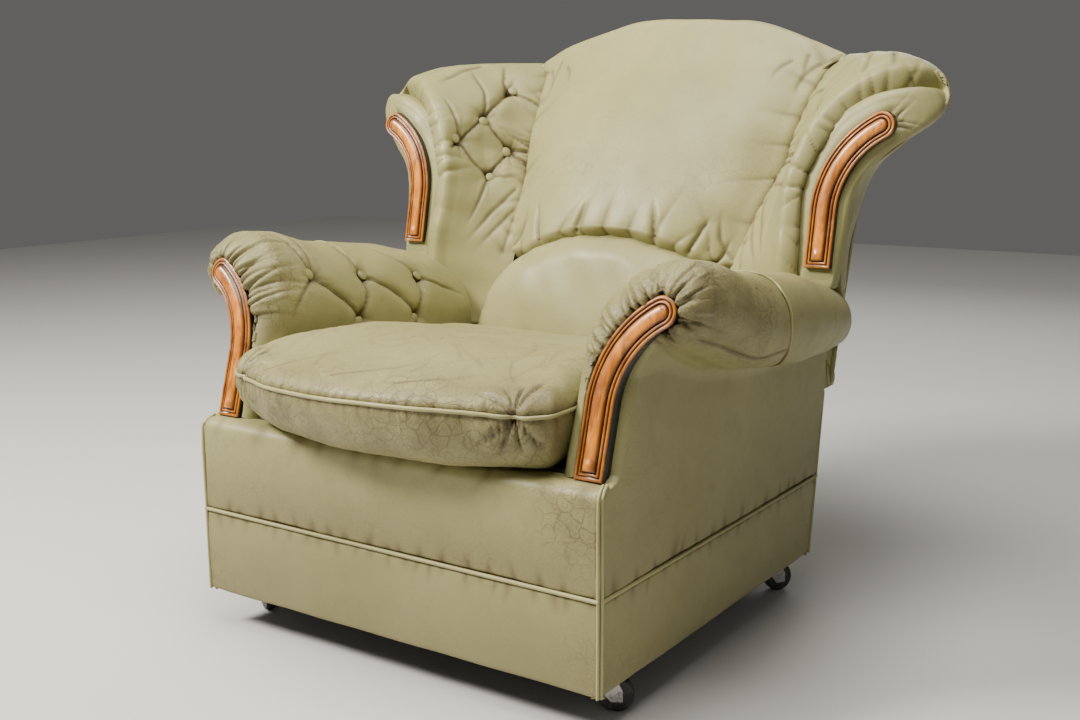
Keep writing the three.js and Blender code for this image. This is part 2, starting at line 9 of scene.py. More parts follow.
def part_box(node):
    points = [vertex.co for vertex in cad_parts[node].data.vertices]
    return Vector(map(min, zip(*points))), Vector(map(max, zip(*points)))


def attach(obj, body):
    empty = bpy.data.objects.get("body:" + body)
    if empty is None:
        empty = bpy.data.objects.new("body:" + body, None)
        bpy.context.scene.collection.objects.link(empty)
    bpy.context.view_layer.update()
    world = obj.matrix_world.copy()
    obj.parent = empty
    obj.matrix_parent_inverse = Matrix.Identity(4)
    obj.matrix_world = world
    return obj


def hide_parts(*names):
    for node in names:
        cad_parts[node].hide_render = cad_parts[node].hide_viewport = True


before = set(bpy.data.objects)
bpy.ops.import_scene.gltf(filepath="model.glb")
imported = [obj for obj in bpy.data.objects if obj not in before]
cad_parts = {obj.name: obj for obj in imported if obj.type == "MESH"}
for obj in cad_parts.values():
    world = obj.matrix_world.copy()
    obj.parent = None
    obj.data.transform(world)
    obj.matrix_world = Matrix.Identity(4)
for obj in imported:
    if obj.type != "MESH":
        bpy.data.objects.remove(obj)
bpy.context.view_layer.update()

# Shapes are drawn in millimetres from the floor below the middle of the base's front face, and the frame says
# where that is. The right half is drawn, and the left one is its mirror image.
MM = 0.001
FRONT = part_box("side_border_right")[0].y
CHAIR = "chair"

BASE_HALF, BASE_BOTTOM, BASE_SEAM, BASE_TOP = 370, 58, 194, 342
BORDER_TOP, PANEL_LOW = BASE_SEAM - 2, BASE_SEAM + 2
BASE_REAR, BASE_LEAN = 699, 0.145
BACK_REAR, BACK_LOW, BACK_RAKE = 780, 345, 0.30
CREST, SHOULDER_DROP, SHOULDER_HALF, PILLOW_FOOT = 985, 73, 319, 606
SWEEP_FROM, SWEEP_SLOPE, SWEEP_SOFTNESS = 492, 0.55, 12
ARM_PLANE = {"y": 18.4, "z": 339, "rake": 0.29, "thick": 25}
WING_PLANE = {"y": 574.5, "z": 569.6, "rake": 0.20, "thick": 17}
ARM_FACING = {"x": 334.5, "z": 344, "straight": 97, "radius": 140, "turn": 60, "half": 22}
WING_FACING = {"x": 410, "z": 569.6, "straight": 90, "radius": 149, "turn": 62, "half": 22}
BUTTON, PIPE, THIN_PIPE = 9.8, 2.9, 2.3
SIDES = (("right", 1), ("left", -1))


# ---- shape helpers ------------------------------------------------------------------------------------
def metres(points, side=1):
    """Design points as row-frame metres, mirrored for side -1."""
    placed = np.asarray(points, float) * MM
    placed[..., 0] *= side
    placed[..., 1] += FRONT
    return placed


def through(points, at, closed=False):
    """Smooth values at `at`, counted in points, along the first axis of points."""
    points = np.asarray(points, float)
    if closed:
        ring = np.concatenate([points[-1:], points, points[:2]])
    else:
        ring = np.concatenate([2 * points[:1] - points[1:2], points, 2 * points[-1:] - points[-2:-1]])
    last = len(ring) - 3
    cell = np.clip(np.floor(at).astype(int), 0, last - 1)
    share = (np.asarray(at) - cell).reshape((-1,) + (1,) * (points.ndim - 1))
    before, start, end, after = (ring[cell + k] for k in range(4))
    slope_in, slope_out = (end - before) / 2, (after - start) / 2
    rise = end - start
    return start + share * (slope_in + share * (3 * rise - 2 * slope_in - slope_out
                                                + share * (slope_in + slope_out - 2 * rise)))


def steps(count, segments):
    """Even places from the first to the last of `count` points."""
    return np.linspace(0, count - 1, segments + 1)


def run_along(line):
    """How far along a line each of its points is."""
    return np.concatenate([[0], np.cumsum(np.linalg.norm(np.diff(line, axis=0), axis=1))])


def on_line(line, run, places):
    """The points of a line at some places, where its own points are at `run`."""
    return np.stack([np.interp(places, run, line[:, k]) for k in range(line.shape[1])], axis=1)


def evenly(line, count):
    """A line again with `count` points, evenly spaced along its length."""
    run = run_along(line)
    return on_line(line, run, np.linspace(0, run[-1], count))


def curve(points, segments, closed=False):
    """A smooth line through points, evenly spaced along its length."""
    dense = through(points, np.linspace(0, len(points) - (0 if closed else 1), segments * 8 + 1), closed)
    return evenly(dense, segments + 1)


def cage(rows, across, along):
    """A smooth surface through rows of points, `across` by `along` cells."""
    rows = np.asarray(rows, float)
    lines = np.stack([through(row, steps(len(row), across)) for row in rows])
    return through(lines, steps(len(rows), along))


def normals_of(points, inside):
    """Unit normals of a grid of points, pointing away from `inside`."""
    cross = np.cross(np.gradient(points, axis=1), np.gradient(points, axis=0))
    length = np.linalg.norm(cross, axis=2, keepdims=True)
    normal = cross / np.maximum(length, 1e-12)
    outward = np.sum(normal * (points - inside) * length)
    return normal if outward > 0 else -normal


def smooth(value, low, high):
    """A soft step, 0 at low and 1 at high."""
    share = np.clip((value - low) / (high - low), 0, 1)
    return share * share * (3 - 2 * share)


def edge_drop(distance, radius):
    """How far a rounded edge falls away at a distance from it."""
    inner = np.clip(1 - distance / radius, 0, 1)
    return radius * (1 - np.sqrt(1 - inner * inner))


def bulge(height, u, v, u_power=0.5, v_power=0.7):
    """The puff of a stuffed panel: full in its middle, none at its edges."""
    return height * np.sin(math.pi * u) ** u_power * np.sin(math.pi * v) ** v_power


def nearest(points, spot):
    """Which of the points is nearest to a spot."""
    return np.argmin(np.linalg.norm(points - np.array(spot), axis=1))


def paired(edge, run, path, path_run, pairs):
    """Where the pairs' first places are along an edge, and their second ones along a path."""
    own = [run[nearest(edge, pair[0])] for pair in pairs]
    return own, [path_run[nearest(path, pair[1])] for pair in pairs]


def turned_in(share, turn, rest):
    """An edge that turns over and then runs on flat: the angle so far, and the share of the flat part."""
    return min(share / turn, 1) * math.pi / 2, max(0.0, (share - turn) / rest)


# ---- relief: what tufting and gathering does to a surface -----------------------------------------------
DIRT_LINE, DIRT_SPOT = 3.2, 11
def along_line(line, points):
    """Each point's distance to a line, and how far along the line its nearest place is."""
    best = np.full(len(points), 1e9)
    place = np.zeros(len(points))
    run = 0.0
    for start, end in zip(line[:-1], line[1:]):
        way = end - start
        length = np.linalg.norm(way)
        if length < 1e-9:
            continue
        share = np.clip((points - start) @ way / length ** 2, 0, 1)
        gap = np.linalg.norm(points - (start + share[:, None] * way), axis=1)
        closer = gap < best
        best = np.where(closer, gap, best)
        place = np.where(closer, run + share * length, place)
        run += length
    return best, place, run


def dimple(centre, depth=15, reach=26):
    """The pull of a button: (height in mm, dirt) at each point."""
    def field(points):
        gap = np.linalg.norm(points - centre, axis=1) / MM
        pull = -depth * np.exp(-(gap / reach) ** 1.25)
        return pull, 0.75 * np.exp(-(gap / DIRT_SPOT) ** 2)
    return field


def fold(line, depth=5, width=5, lip=1.6, fade=0.0, reach=9.0, dirt=0.8):
    """A tuck along a line: a sharp valley with puffed sides, which dies out over the last `fade` of it."""
    def field(points):
        gap, place, run = along_line(line, points)
        gap = gap / MM
        strength = smooth(1 - place / run, 0, fade) if fade > 0 else 1.0
        valley = -depth * np.exp(-gap / width)
        sides = lip * (gap / reach) * np.exp(1 - gap / reach)
        return strength * (valley + sides), strength * dirt * np.exp(-(gap / DIRT_LINE) ** 2)
    return field


def tufting(folds):
    """Folds that meet: the deepest one rules at each point, so that together they don't dig a pit."""
    def field(points):
        found = [one(points) for one in folds]
        rise = np.array([height for height, soil_and_shade in found])
        return np.minimum(rise.min(axis=0), 0) + np.maximum(rise.max(axis=0), 0), np.max(
            [soil_and_shade for height, soil_and_shade in found], axis=0)
    return field


def gathers(line, spacing, depth, reach, seed, start=0.0, end=1.0, width=0.28, slant=0.35, puff=0.2):
    """Small pleats that run out from a seam, unevenly spaced, each with its own length and depth."""
    dice = np.random.default_rng(seed)
    def field(points):
        gap, place, run = (measure / MM for measure in along_line(line, points))
        height = np.zeros(len(points))
        soil_and_shade = np.zeros(len(points))
        at = run * start
        while at < run * end:
            own_reach = reach * dice.uniform(0.55, 1.35)
            own_depth = depth * dice.uniform(0.5, 1.2)
            lean = dice.normal(0, slant)
            wide = spacing * width * dice.uniform(0.7, 1.4)
            off = np.abs(place - at - lean * gap * 0.5)
            fading = np.exp(-(gap / own_reach) ** 1.6)
            height -= own_depth * (np.exp(-off / wide) * fading)
            height += own_depth * puff * np.exp(-((off - 0.5 * spacing) / (0.4 * spacing)) ** 2) * fading
            soil_and_shade += 0.6 * np.exp(-(off / (0.6 * wide)) ** 2) * np.exp(-(gap / (0.8 * own_reach)) ** 2)
            at += spacing * dice.uniform(0.6, 1.5)
        return height, soil_and_shade
    return field


def rays(centre, facing, count, depth, reach, seed):
    """Short pleats that run out from a button, in the plane that faces the given way."""
    dice = np.random.default_rng(seed)
    facing = np.asarray(facing, float) / np.linalg.norm(facing)
    across = np.cross(facing, (0, 0, 1))
    across /= np.linalg.norm(across)
    up = np.cross(across, facing)
    ways = np.arange(count) * 2 * math.pi / count + dice.normal(0, 0.35, count)
    sizes = reach * dice.uniform(0.6, 1.3, count)
    def field(points):
        away = (points - centre) / MM
        gap = np.linalg.norm(away, axis=1)
        turn = np.arctan2(away @ up, away @ across)
        height = np.zeros(len(points))
        soil_and_shade = np.zeros(len(points))
        for way, size in zip(ways, sizes):
            off = np.abs((turn - way + math.pi) % (2 * math.pi) - math.pi) * np.minimum(gap, 40)
            line = np.exp(-off / 2.6) * np.exp(-(gap / size) ** 2)
            height -= depth * line
            soil_and_shade += 0.4 * line
        return height, soil_and_shade
    return field


def seam(line, depth=3.0, width=4.0, soil_and_shade=0.7):
    """A sewn line that pulls the surface in."""
    def field(points):
        gap = along_line(line, points)[0] / MM
        return -depth * np.exp(-(gap / width) ** 1.3), soil_and_shade * np.exp(-(gap / (0.6 * width)) ** 2)
    return field


def ripples(seed, size=90, height=1.2):
    """Slow unevenness of stuffed leather."""
    dice = np.random.default_rng(seed)
    waves = [(dice.normal(size=3), dice.uniform(0, 6.3), dice.uniform(0.7, 1.6)) for _ in range(7)]
    def field(points):
        total = np.zeros(len(points))
        for way, phase, pitch in waves:
            way = way / np.linalg.norm(way)
            total += np.sin(points @ way / MM * 6.283 / (size * pitch) + phase)
        return height * total / 3.5, np.zeros(len(points))
    return field


def painted_low_shade(low, high, amount):
    """Painted shade that darkens the leather towards the floor: full at the height `low` in mm, gone at
    `high`.
    """
    def field(points):
        return np.zeros(len(points)), amount * (1 - smooth(points[:, 2] / MM, low, high))
    return field


def relief(points, inside, fields):
    """Moves a grid of points along its normals by the fields, and gives each point's darkening: dirt, and
    painted shade where a field paints it low down.
    """
    flat = points.reshape(-1, 3)
    normal = normals_of(points, inside).reshape(-1, 3)
    height = np.zeros(len(flat))
    soil_and_shade = np.zeros(len(flat))
    for field in fields:
        rise, dirt = field(flat)
        height += rise
        soil_and_shade += dirt
    moved = (flat + normal * (height * MM)[:, None]).reshape(points.shape)
    for pole, ring in ((0, 1), (-1, -2)):
        if np.ptp(points[pole], axis=0).max() < 1e-6:
            moved[pole] = moved[ring].mean(axis=0)
    return moved, np.clip(soil_and_shade, 0, 1).reshape(points.shape[:2])


def snap(points, target):
    """The place on a grid of points that is nearest to target."""
    flat = points.reshape(-1, 3)
    return flat[nearest(flat, target)]


def laid_on(points, line, segments=24):
    """A smooth line through rough places, laid onto a grid of points."""
    laid = np.array([snap(points, place) for place in curve(line, segments)])
    for _ in range(3):
        laid[1:-1] = (laid[:-2] + 2 * laid[1:-1] + laid[2:]) / 4
    return laid


# ---- pieces -------------------------------------------------------------------------------------------
def set_values(mesh, name, values):
    attribute = mesh.attributes.new(name, "FLOAT", "POINT")
    attribute.data.foreach_set("value", np.asarray(values, np.float32).ravel())


def new_mesh(name, maker):
    """A mesh from a bmesh, which is then let go."""
    mesh = bpy.data.meshes.new(name)
    maker.to_mesh(mesh)
    maker.free()
    return mesh


def new_object(name, data):
    """An object in the scene's collection."""
    thing = bpy.data.objects.new(name, data)
    bpy.context.scene.collection.objects.link(thing)
    return thing


def grid_mesh(name, points, values):
    """A mesh with one vertex at each of points (rows, columns, 3), with its values as point attributes."""
    rows, columns = points.shape[:2]
    maker = bmesh.new()
    bmesh.ops.create_grid(maker, x_segments=columns - 1, y_segments=rows - 1, size=0.5)
    mesh = new_mesh(name, maker)
    flat = np.empty(len(mesh.vertices) * 3)
    mesh.vertices.foreach_get("co", flat)
    flat = flat.reshape(-1, 3)
    column = np.rint((flat[:, 0] + 0.5) * (columns - 1)).astype(int)
    row = np.rint((flat[:, 1] + 0.5) * (rows - 1)).astype(int)
    mesh.vertices.foreach_set("co", points[row, column].ravel())
    for key, value in values.items():
        set_values(mesh, key, value[row, column])
    mesh.update()
    return mesh


def finish_mesh(mesh, inside, merge=1e-5):
    """Closes seams and poles, and turns the faces outwards."""
    maker = bmesh.new()
    maker.from_mesh(mesh)
    bmesh.ops.remove_doubles(maker, verts=maker.verts, dist=merge)
    bmesh.ops.dissolve_degenerate(maker, edges=maker.edges, dist=1e-6)
    bmesh.ops.recalc_face_normals(maker, faces=maker.faces)
    centre = Vector(inside)
    outward = sum(face.normal.dot(face.calc_center_median() - centre) * face.calc_area()
                  for face in maker.faces)
    if outward < 0:
        bmesh.ops.reverse_faces(maker, faces=maker.faces)
    for face in maker.faces:
        face.smooth = True
    maker.to_mesh(mesh)
    maker.free()


def place(mesh, material, slot="leather", node=None):
    """Puts a finished mesh in the scene as a piece that rides on the chair, in place of a CAD node."""
    piece = new_object(mesh.name, mesh)
    mesh.materials.append(material)
    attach(piece, CHAIR)
    if node:
        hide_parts(node)
    return piece


def leather(name, points, inside, node=None, fields=(), wear=0.0, wall=4.0):
    """A leather piece from a grid of points. `wall` is its thickness in mm, or 0 for a closed form."""
    inside = np.asarray(inside, float)
    shaped, soil_and_shade = relief(points, inside, fields)
    mesh = grid_mesh(name, shaped, {"soil_and_shade": soil_and_shade, "wear": np.clip(wear + np.zeros(soil_and_shade.shape), 0, 1)})
    finish_mesh(mesh, inside)
    piece = place(mesh, LEATHER, node=node)
    if wall:
        solid = piece.modifiers.new("wall", "SOLIDIFY")
        solid.thickness = wall * MM
        solid.offset = -1
        solid.use_rim = True
    return shaped


def cord(name, line, radius=PIPE, closed=False):
    """A round leather cord along a line of metre points, with closed ends."""
    data = bpy.data.curves.new(name, "CURVE")
    data.dimensions = "3D"
    data.bevel_depth = radius * MM
    data.bevel_resolution = 3
    data.use_fill_caps = True
    strand = data.splines.new("POLY")
    strand.points.add(len(line) - 1)
    strand.points.foreach_set("co", np.concatenate([line, np.ones((len(line), 1))], axis=1).ravel())
    strand.use_cyclic_u = closed
    shape = new_object(name, data)
    mesh = bpy.data.meshes.new_from_object(shape.evaluated_get(bpy.context.evaluated_depsgraph_get()))
    mesh.name = name
    bpy.data.objects.remove(shape)
    for polygon in mesh.polygons:
        polygon.use_smooth = True
    mesh.materials.clear()
    place(mesh, LEATHER_CORD)


def button(name, centre, normal):
    """A covered button: a flattened dome, sunk into its dimple."""
    maker = bmesh.new()
    bmesh.ops.create_uvsphere(maker, u_segments=24, v_segments=12, radius=BUTTON * MM)
    turn = Vector(normal).to_track_quat("Z", "Y").to_matrix().to_4x4()
    flatten = Matrix.Diagonal((1, 1, 0.36, 1))
    bmesh.ops.transform(maker, verts=maker.verts, matrix=Matrix.Translation(Vector(centre)) @ turn @ flatten)
    mesh = new_mesh(name, maker)
    for polygon in mesh.polygons:
        polygon.use_smooth = True
    for key, value in (("soil_and_shade", 0.05), ("wear", 0.1)):
        set_values(mesh, key, np.full(len(mesh.vertices), value))
    place(mesh, LEATHER)


def buttons_on(name, points, inside, centres, sink=0.0022, around=0.03):
    """Covered buttons on a shaped grid, near the places given, square to the skin around them."""
    normal = normals_of(points, np.asarray(inside, float)).reshape(-1, 3)
    flat = points.reshape(-1, 3)
    for number, centre in enumerate(centres, 1):
        near = np.linalg.norm(flat - centre, axis=1)
        way = normal[near < around].mean(axis=0)
        way /= np.linalg.norm(way)
        button(f"{name}_{number}", flat[np.argmin(near)] + way * sink, way)
# ---- finishes -------------------------------------------------------------------------------------------
NUMBER, COLOUR, POINT = "NodeSocketFloat", "NodeSocketColor", "NodeSocketVector"


def feed(tree, socket, value):
    """Links a socket into another one, or sets its plain value."""
    if isinstance(value, bpy.types.NodeSocket):
        tree.links.new(value, socket)
    else:
        socket.default_value = value


def join(tree, node_type, inputs, **settings):
    """Adds a node, sets it, and feeds its inputs with values or sockets."""
    node = tree.nodes.new(node_type)
    for key, value in settings.items():
        setattr(node, key, value)
    for key, value in inputs.items():
        feed(tree, node.inputs[key], value)
    return node


def new_group(name, inputs, outputs):
    """An empty shader group. Its inputs are (name, kind, default) and its outputs (name, kind)."""
    tree = bpy.data.node_groups.new(name, "ShaderNodeTree")
    for label, kind, default in [("Place", POINT, (0, 0, 0))] + inputs:
        tree.interface.new_socket(name=label, in_out="INPUT", socket_type=kind).default_value = default
    for label, kind in outputs:
        tree.interface.new_socket(name=label, in_out="OUTPUT", socket_type=kind)
    return tree, tree.nodes.new("NodeGroupInput").outputs, tree.nodes.new("NodeGroupOutput").inputs


def maths(tree, operation, first, second, clamp=False):
    node = join(tree, "ShaderNodeMath", {0: first, 1: second}, operation=operation, use_clamp=clamp)
    return node.outputs[0]


def times(tree, first, second, clamp=False):
    return maths(tree, "MULTIPLY", first, second, clamp)


def plus(tree, first, second, clamp=False):
    return maths(tree, "ADD", first, second, clamp)


def ramp(tree, value, low, high, low_out=0.0, high_out=1.0):
    """A soft step of value, from low_out at low to high_out at high."""
    inputs = {"Value": value, "From Min": low, "From Max": high, "To Min": low_out, "To Max": high_out}
    return join(tree, "ShaderNodeMapRange", inputs, interpolation_type="SMOOTHSTEP").outputs["Result"]


def blended(tree, share, first, second):
    return join(tree, "ShaderNodeMix", {0: share, 6: first, 7: second}, data_type="RGBA").outputs[2]


def noise(tree, at, scale, detail, **more):
    return join(tree, "ShaderNodeTexNoise", {"Vector": at, "Scale": scale, "Detail": detail, **more})


def cells(tree, at, scale, feature):
    node = join(tree, "ShaderNodeTexVoronoi", {"Vector": at, "Scale": scale}, feature=feature)
    return node.outputs["Distance"]


def hide_grain():
    """Leather's surface: pebble grain, a net of fine cracks, and soft wrinkles."""
    tree, given, made = new_group("hide grain", [("Cracks", NUMBER, 0.4)],
                                  [("Height", NUMBER), ("Crack Mask", NUMBER)])
    at = given["Place"]
    drift = noise(tree, at, 17.0, 4.0).outputs["Color"]
    offset = join(tree, "ShaderNodeVectorMath", {0: drift, "Scale": 0.045}, operation="SCALE").outputs[0]
    bent = join(tree, "ShaderNodeVectorMath", {0: at, 1: offset}, operation="ADD").outputs[0]
    patches = ramp(tree, noise(tree, at, 9.0, 4.0).outputs["Fac"], 0.38, 0.66)
    wide_line = ramp(tree, cells(tree, bent, 48.0, "DISTANCE_TO_EDGE"), 0.0, 0.07, 1.0, 0.0)
    fine_line = ramp(tree, cells(tree, bent, 165.0, "DISTANCE_TO_EDGE"), 0.0, 0.12, 1.0, 0.0)
    net = plus(tree, times(tree, wide_line, patches), times(tree, fine_line, 0.5))
    mask = times(tree, net, given["Cracks"], clamp=True)
    wrinkles = noise(tree, at, 55.0, 6.0, Roughness=0.6).outputs["Fac"]
    rise = plus(tree, times(tree, cells(tree, at, 620.0, "F1"), -0.10), times(tree, wrinkles, 0.45))
    feed(tree, made["Height"], maths(tree, "SUBTRACT", rise, times(tree, mask, 0.8)))
    feed(tree, made["Crack Mask"], mask)
    return tree


def hide_tone():
    """Leather's colour: uneven dye, pale rubbed places, brown dirt in creases and specks, and painted shade
    low down, which comes in with the soil and takes the same brown.
    """
    tree, given, made = new_group(
        "hide tone", [(name, COLOUR, (0.2, 0.2, 0.1, 1)) for name in ("Dye", "Rubbed", "Dirt")]
        + [(name, NUMBER, 0.0) for name in ("Soil", "Wear", "Cracks")],
        [("Color", COLOUR), ("Roughness", NUMBER)])
    at, dirt = given["Place"], given["Dirt"]
    cloud = noise(tree, at, 3.2, 5.0, Roughness=0.55).outputs["Fac"]
    mottle = noise(tree, at, 24.0, 6.0, Roughness=0.65).outputs["Fac"]
    speck = noise(tree, at, 150.0, 2.0).outputs["Fac"]
    tone = blended(tree, ramp(tree, cloud, 0.3, 0.72), given["Dye"], given["Rubbed"])
    tone = blended(tree, ramp(tree, mottle, 0.45, 0.75, 0.0, 0.10), tone, dirt)
    worn = times(tree, maths(tree, "POWER", given["Wear"], 2.0), ramp(tree, mottle, 0.1, 0.8))
    tone = blended(tree, times(tree, worn, 0.62), tone, dirt)
    # This share is dirt, and painted shade low down; both darken the leather towards the brown.
    dirty = plus(tree, times(tree, given["Soil"], 0.8), times(tree, given["Cracks"], 0.5), clamp=True)
    tone = blended(tree, dirty, tone, dirt)
    tone = blended(tree, ramp(tree, speck, 0.79, 0.83, 0.0, 0.55), tone, dirt)
    rough = plus(tree, times(tree, mottle, 0.24), 0.32)
    feed(tree, made["Color"], tone)
    feed(tree, made["Roughness"], plus(tree, rough, times(tree, dirty, 0.25), clamp=True))
    return tree


def timber_figure():
    """Wood figure that runs up a piece: long streaks and fine pores."""
    tree, given, made = new_group(
        "timber figure", [(name, COLOUR, (0.5, 0.3, 0.1, 1)) for name in ("Pale", "Deep")],
        [("Color", COLOUR), ("Height", NUMBER)])
    along, pores = (join(tree, "ShaderNodeMapping", {"Vector": given["Place"], "Scale": scale}).outputs[0]
                    for scale in ((60.0, 60.0, 5.0), (700.0, 700.0, 40.0)))
    streak = noise(tree, along, 1.0, 6.0, Roughness=0.6, Distortion=0.7).outputs["Fac"]
    pore = noise(tree, pores, 1.0, 2.0).outputs["Fac"]
    tone = blended(tree, ramp(tree, streak, 0.34, 0.68), given["Pale"], given["Deep"])
    feed(tree, made["Color"], blended(tree, ramp(tree, pore, 0.62, 0.72, 0.0, 0.35), tone, given["Deep"]))
    feed(tree, made["Height"], times(tree, pore, -1.0))
    return tree


def patchy_dust():
    """Dust and scuffs in patches."""
    tree, given, made = new_group("dust and scuffs", [("Scale", NUMBER, 40.0)], [("Mask", NUMBER)])
    blotch = noise(tree, given["Place"], given["Scale"], 5.0, Roughness=0.7).outputs["Fac"]
    feed(tree, made["Mask"], ramp(tree, blotch, 0.48, 0.72))
    return tree


HIDE_GRAIN, HIDE_TONE, TIMBER_FIGURE, DUST = hide_grain(), hide_tone(), timber_figure(), patchy_dust()


def new_finish(name, **sockets):
    """A material with a Principled shader. Sockets hold its plain values."""
    finish = bpy.data.materials.new(name)
    finish.use_nodes = True
    tree = finish.node_tree
    shader = tree.nodes["Principled BSDF"]
    for key, value in sockets.items():
        shader.inputs[key.replace("_", " ")].default_value = value
    return finish, tree, shader.inputs, tree.nodes.new("ShaderNodeTexCoord").outputs["Object"]


def use(tree, group, **values):
    """Adds a shader group and gives its outputs."""
    node = tree.nodes.new("ShaderNodeGroup")
    node.node_tree = group
    for key, value in values.items():
        feed(tree, node.inputs[key], value)
    return node.outputs


def attribute(tree, name):
    return join(tree, "ShaderNodeAttribute", {}, attribute_name=name).outputs["Fac"]


def bumped(tree, shader, height, strength, distance):
    bump = join(tree, "ShaderNodeBump", {"Height": height, "Strength": strength, "Distance": distance})
    feed(tree, shader["Normal"], bump.outputs[0])


def leather_finish(name, dye, rubbed, dirt, cracks, strength):
    finish, tree, shader, at = new_finish(name, Specular_IOR_Level=0.38)
    wear = attribute(tree, "wear")
    grain = use(tree, HIDE_GRAIN, Place=at, Cracks=ramp(tree, wear, 0.0, 1.0, cracks, 1.0))
    tone = use(tree, HIDE_TONE, Place=at, Dye=dye, Rubbed=rubbed, Dirt=dirt, Soil=attribute(tree, "soil_and_shade"),
               Wear=wear, Cracks=grain["Crack Mask"])
    feed(tree, shader["Base Color"], tone["Color"])
    feed(tree, shader["Roughness"], tone["Roughness"])
    bumped(tree, shader, grain["Height"], strength, 0.0012)
    return finish


def facing_finish():
    """Polished honey wood with dark stain left in its grooves, and near-black sides."""
    finish, tree, shader, at = new_finish("polished honey wood", Coat_Roughness=0.12)
    figure = use(tree, TIMBER_FIGURE, Place=at, Pale=(0.76, 0.255, 0.016, 1), Deep=(0.29, 0.080, 0.008, 1))
    side = attribute(tree, "side")
    scuff = use(tree, DUST, Place=at, Scale=55.0)["Mask"]
    tone = blended(tree, attribute(tree, "groove"), figure["Color"], (0.028, 0.007, 0.003, 1))
    tone = blended(tree, times(tree, scuff, 0.14), tone, (0.72, 0.40, 0.16, 1))
    feed(tree, shader["Base Color"], blended(tree, side, tone, (0.006, 0.005, 0.005, 1)))
    feed(tree, shader["Roughness"], plus(tree, times(tree, scuff, 0.18), 0.32))
    feed(tree, shader["Coat Weight"], ramp(tree, side, 0.0, 1.0, 0.3, 0.05))
    bumped(tree, shader, figure["Height"], 0.12, 0.0004)
    return finish


def plain_timber():
    finish, tree, shader, at = new_finish("frame timber", Roughness=0.72)
    figure = use(tree, TIMBER_FIGURE, Place=at, Pale=(0.52, 0.36, 0.20, 1), Deep=(0.34, 0.21, 0.10, 1))
    dust = times(tree, use(tree, DUST, Place=at, Scale=18.0)["Mask"], 0.35)
    feed(tree, shader["Base Color"], blended(tree, dust, figure["Color"], (0.22, 0.19, 0.15, 1)))
    bumped(tree, shader, figure["Height"], 0.35, 0.0008)
    return finish


def woven(name, colour, thread, pitch):
    """Plain cloth or webbing: two sets of threads that cross, with dust."""
    finish, tree, shader, at = new_finish(name, Roughness=0.9, Sheen_Weight=0.2)
    across, along = (join(tree, "ShaderNodeTexWave", {"Vector": at, "Scale": pitch}, bands_direction=way)
                     for way in "XY")
    weave = times(tree, across.outputs["Fac"], along.outputs["Fac"])
    dust = ramp(tree, noise(tree, at, 60.0, 4.0).outputs["Fac"], 0.45, 0.75, 0.0, 0.5)
    tone = blended(tree, weave, colour, thread)
    feed(tree, shader["Base Color"], blended(tree, dust, tone, (0.11, 0.10, 0.085, 1)))
    bumped(tree, shader, weave, 0.5, 0.0008)
    return finish


def grimy(name, patches, clean, dirty, rough, strength, distance, **sockets):
    """A plain colour under patches of grime that are rougher than it is."""
    finish, tree, shader, at = new_finish(name, **sockets)
    mask = use(tree, DUST, Place=at, Scale=patches)["Mask"]
    feed(tree, shader["Base Color"], blended(tree, mask, clean, dirty))
    feed(tree, shader["Roughness"], ramp(tree, mask, 0.0, 1.0, *rough))
    bumped(tree, shader, mask, strength, distance)
    return finish


# The sage leather's third colour is the brown of dirt; it also colours the painted shade low down on the base
# and outside arms.
LEATHER = leather_finish("sage leather", (0.285, 0.266, 0.110, 1), (0.350, 0.326, 0.142, 1),
                         (0.100, 0.068, 0.029, 1), 0.12, 0.4)
LEATHER_CORD = leather_finish("sage leather cord", (0.300, 0.278, 0.118, 1), (0.40, 0.370, 0.17, 1),
                              (0.10, 0.070, 0.030, 1), 0.05, 0.3)
FACING_WOOD = facing_finish()
TIMBER = plain_timber()
COVER_CLOTH = woven("black dust cloth", (0.012, 0.012, 0.012, 1), (0.035, 0.034, 0.032, 1), 260.0)
WEBBING = woven("jute webbing", (0.10, 0.075, 0.045, 1), (0.20, 0.16, 0.10, 1), 120.0)
STEEL = grimy("dull castor steel", 120.0, (0.42, 0.41, 0.39, 1), (0.13, 0.115, 0.095, 1),
              (0.34, 0.75), 0.25, 0.0006, Metallic=0.85)
TREAD = grimy("castor tread", 85.0, (0.018, 0.018, 0.018, 1), (0.10, 0.092, 0.08, 1),
              (0.45, 0.85), 0.3, 0.0008)

# A CAD node that starts with one of these names shows its own solid. The others are leather or facings, and
# pieces below take their place.
FINISH_OF = {"seat_strap": WEBBING, "seat_deck": COVER_CLOTH, "bottom_cover": COVER_CLOTH,
             "castor_wheel": TREAD}
FINISH_OF.update({f"castor_{part}": STEEL for part in ("plate", "fork", "axle")})
FINISH_OF.update({board: TIMBER for board in (
    "front_board", "side_board", "back_board", "front_corner_block", "rear_corner_block", "back_post",
    "arm_stump", "arm_rail", "back_top_rail")})

for name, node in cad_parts.items():
    found = [finish for start, finish in FINISH_OF.items() if name.startswith(start)]
    node.data.materials.clear()
    node.data.materials.append(found[0] if found else LEATHER)


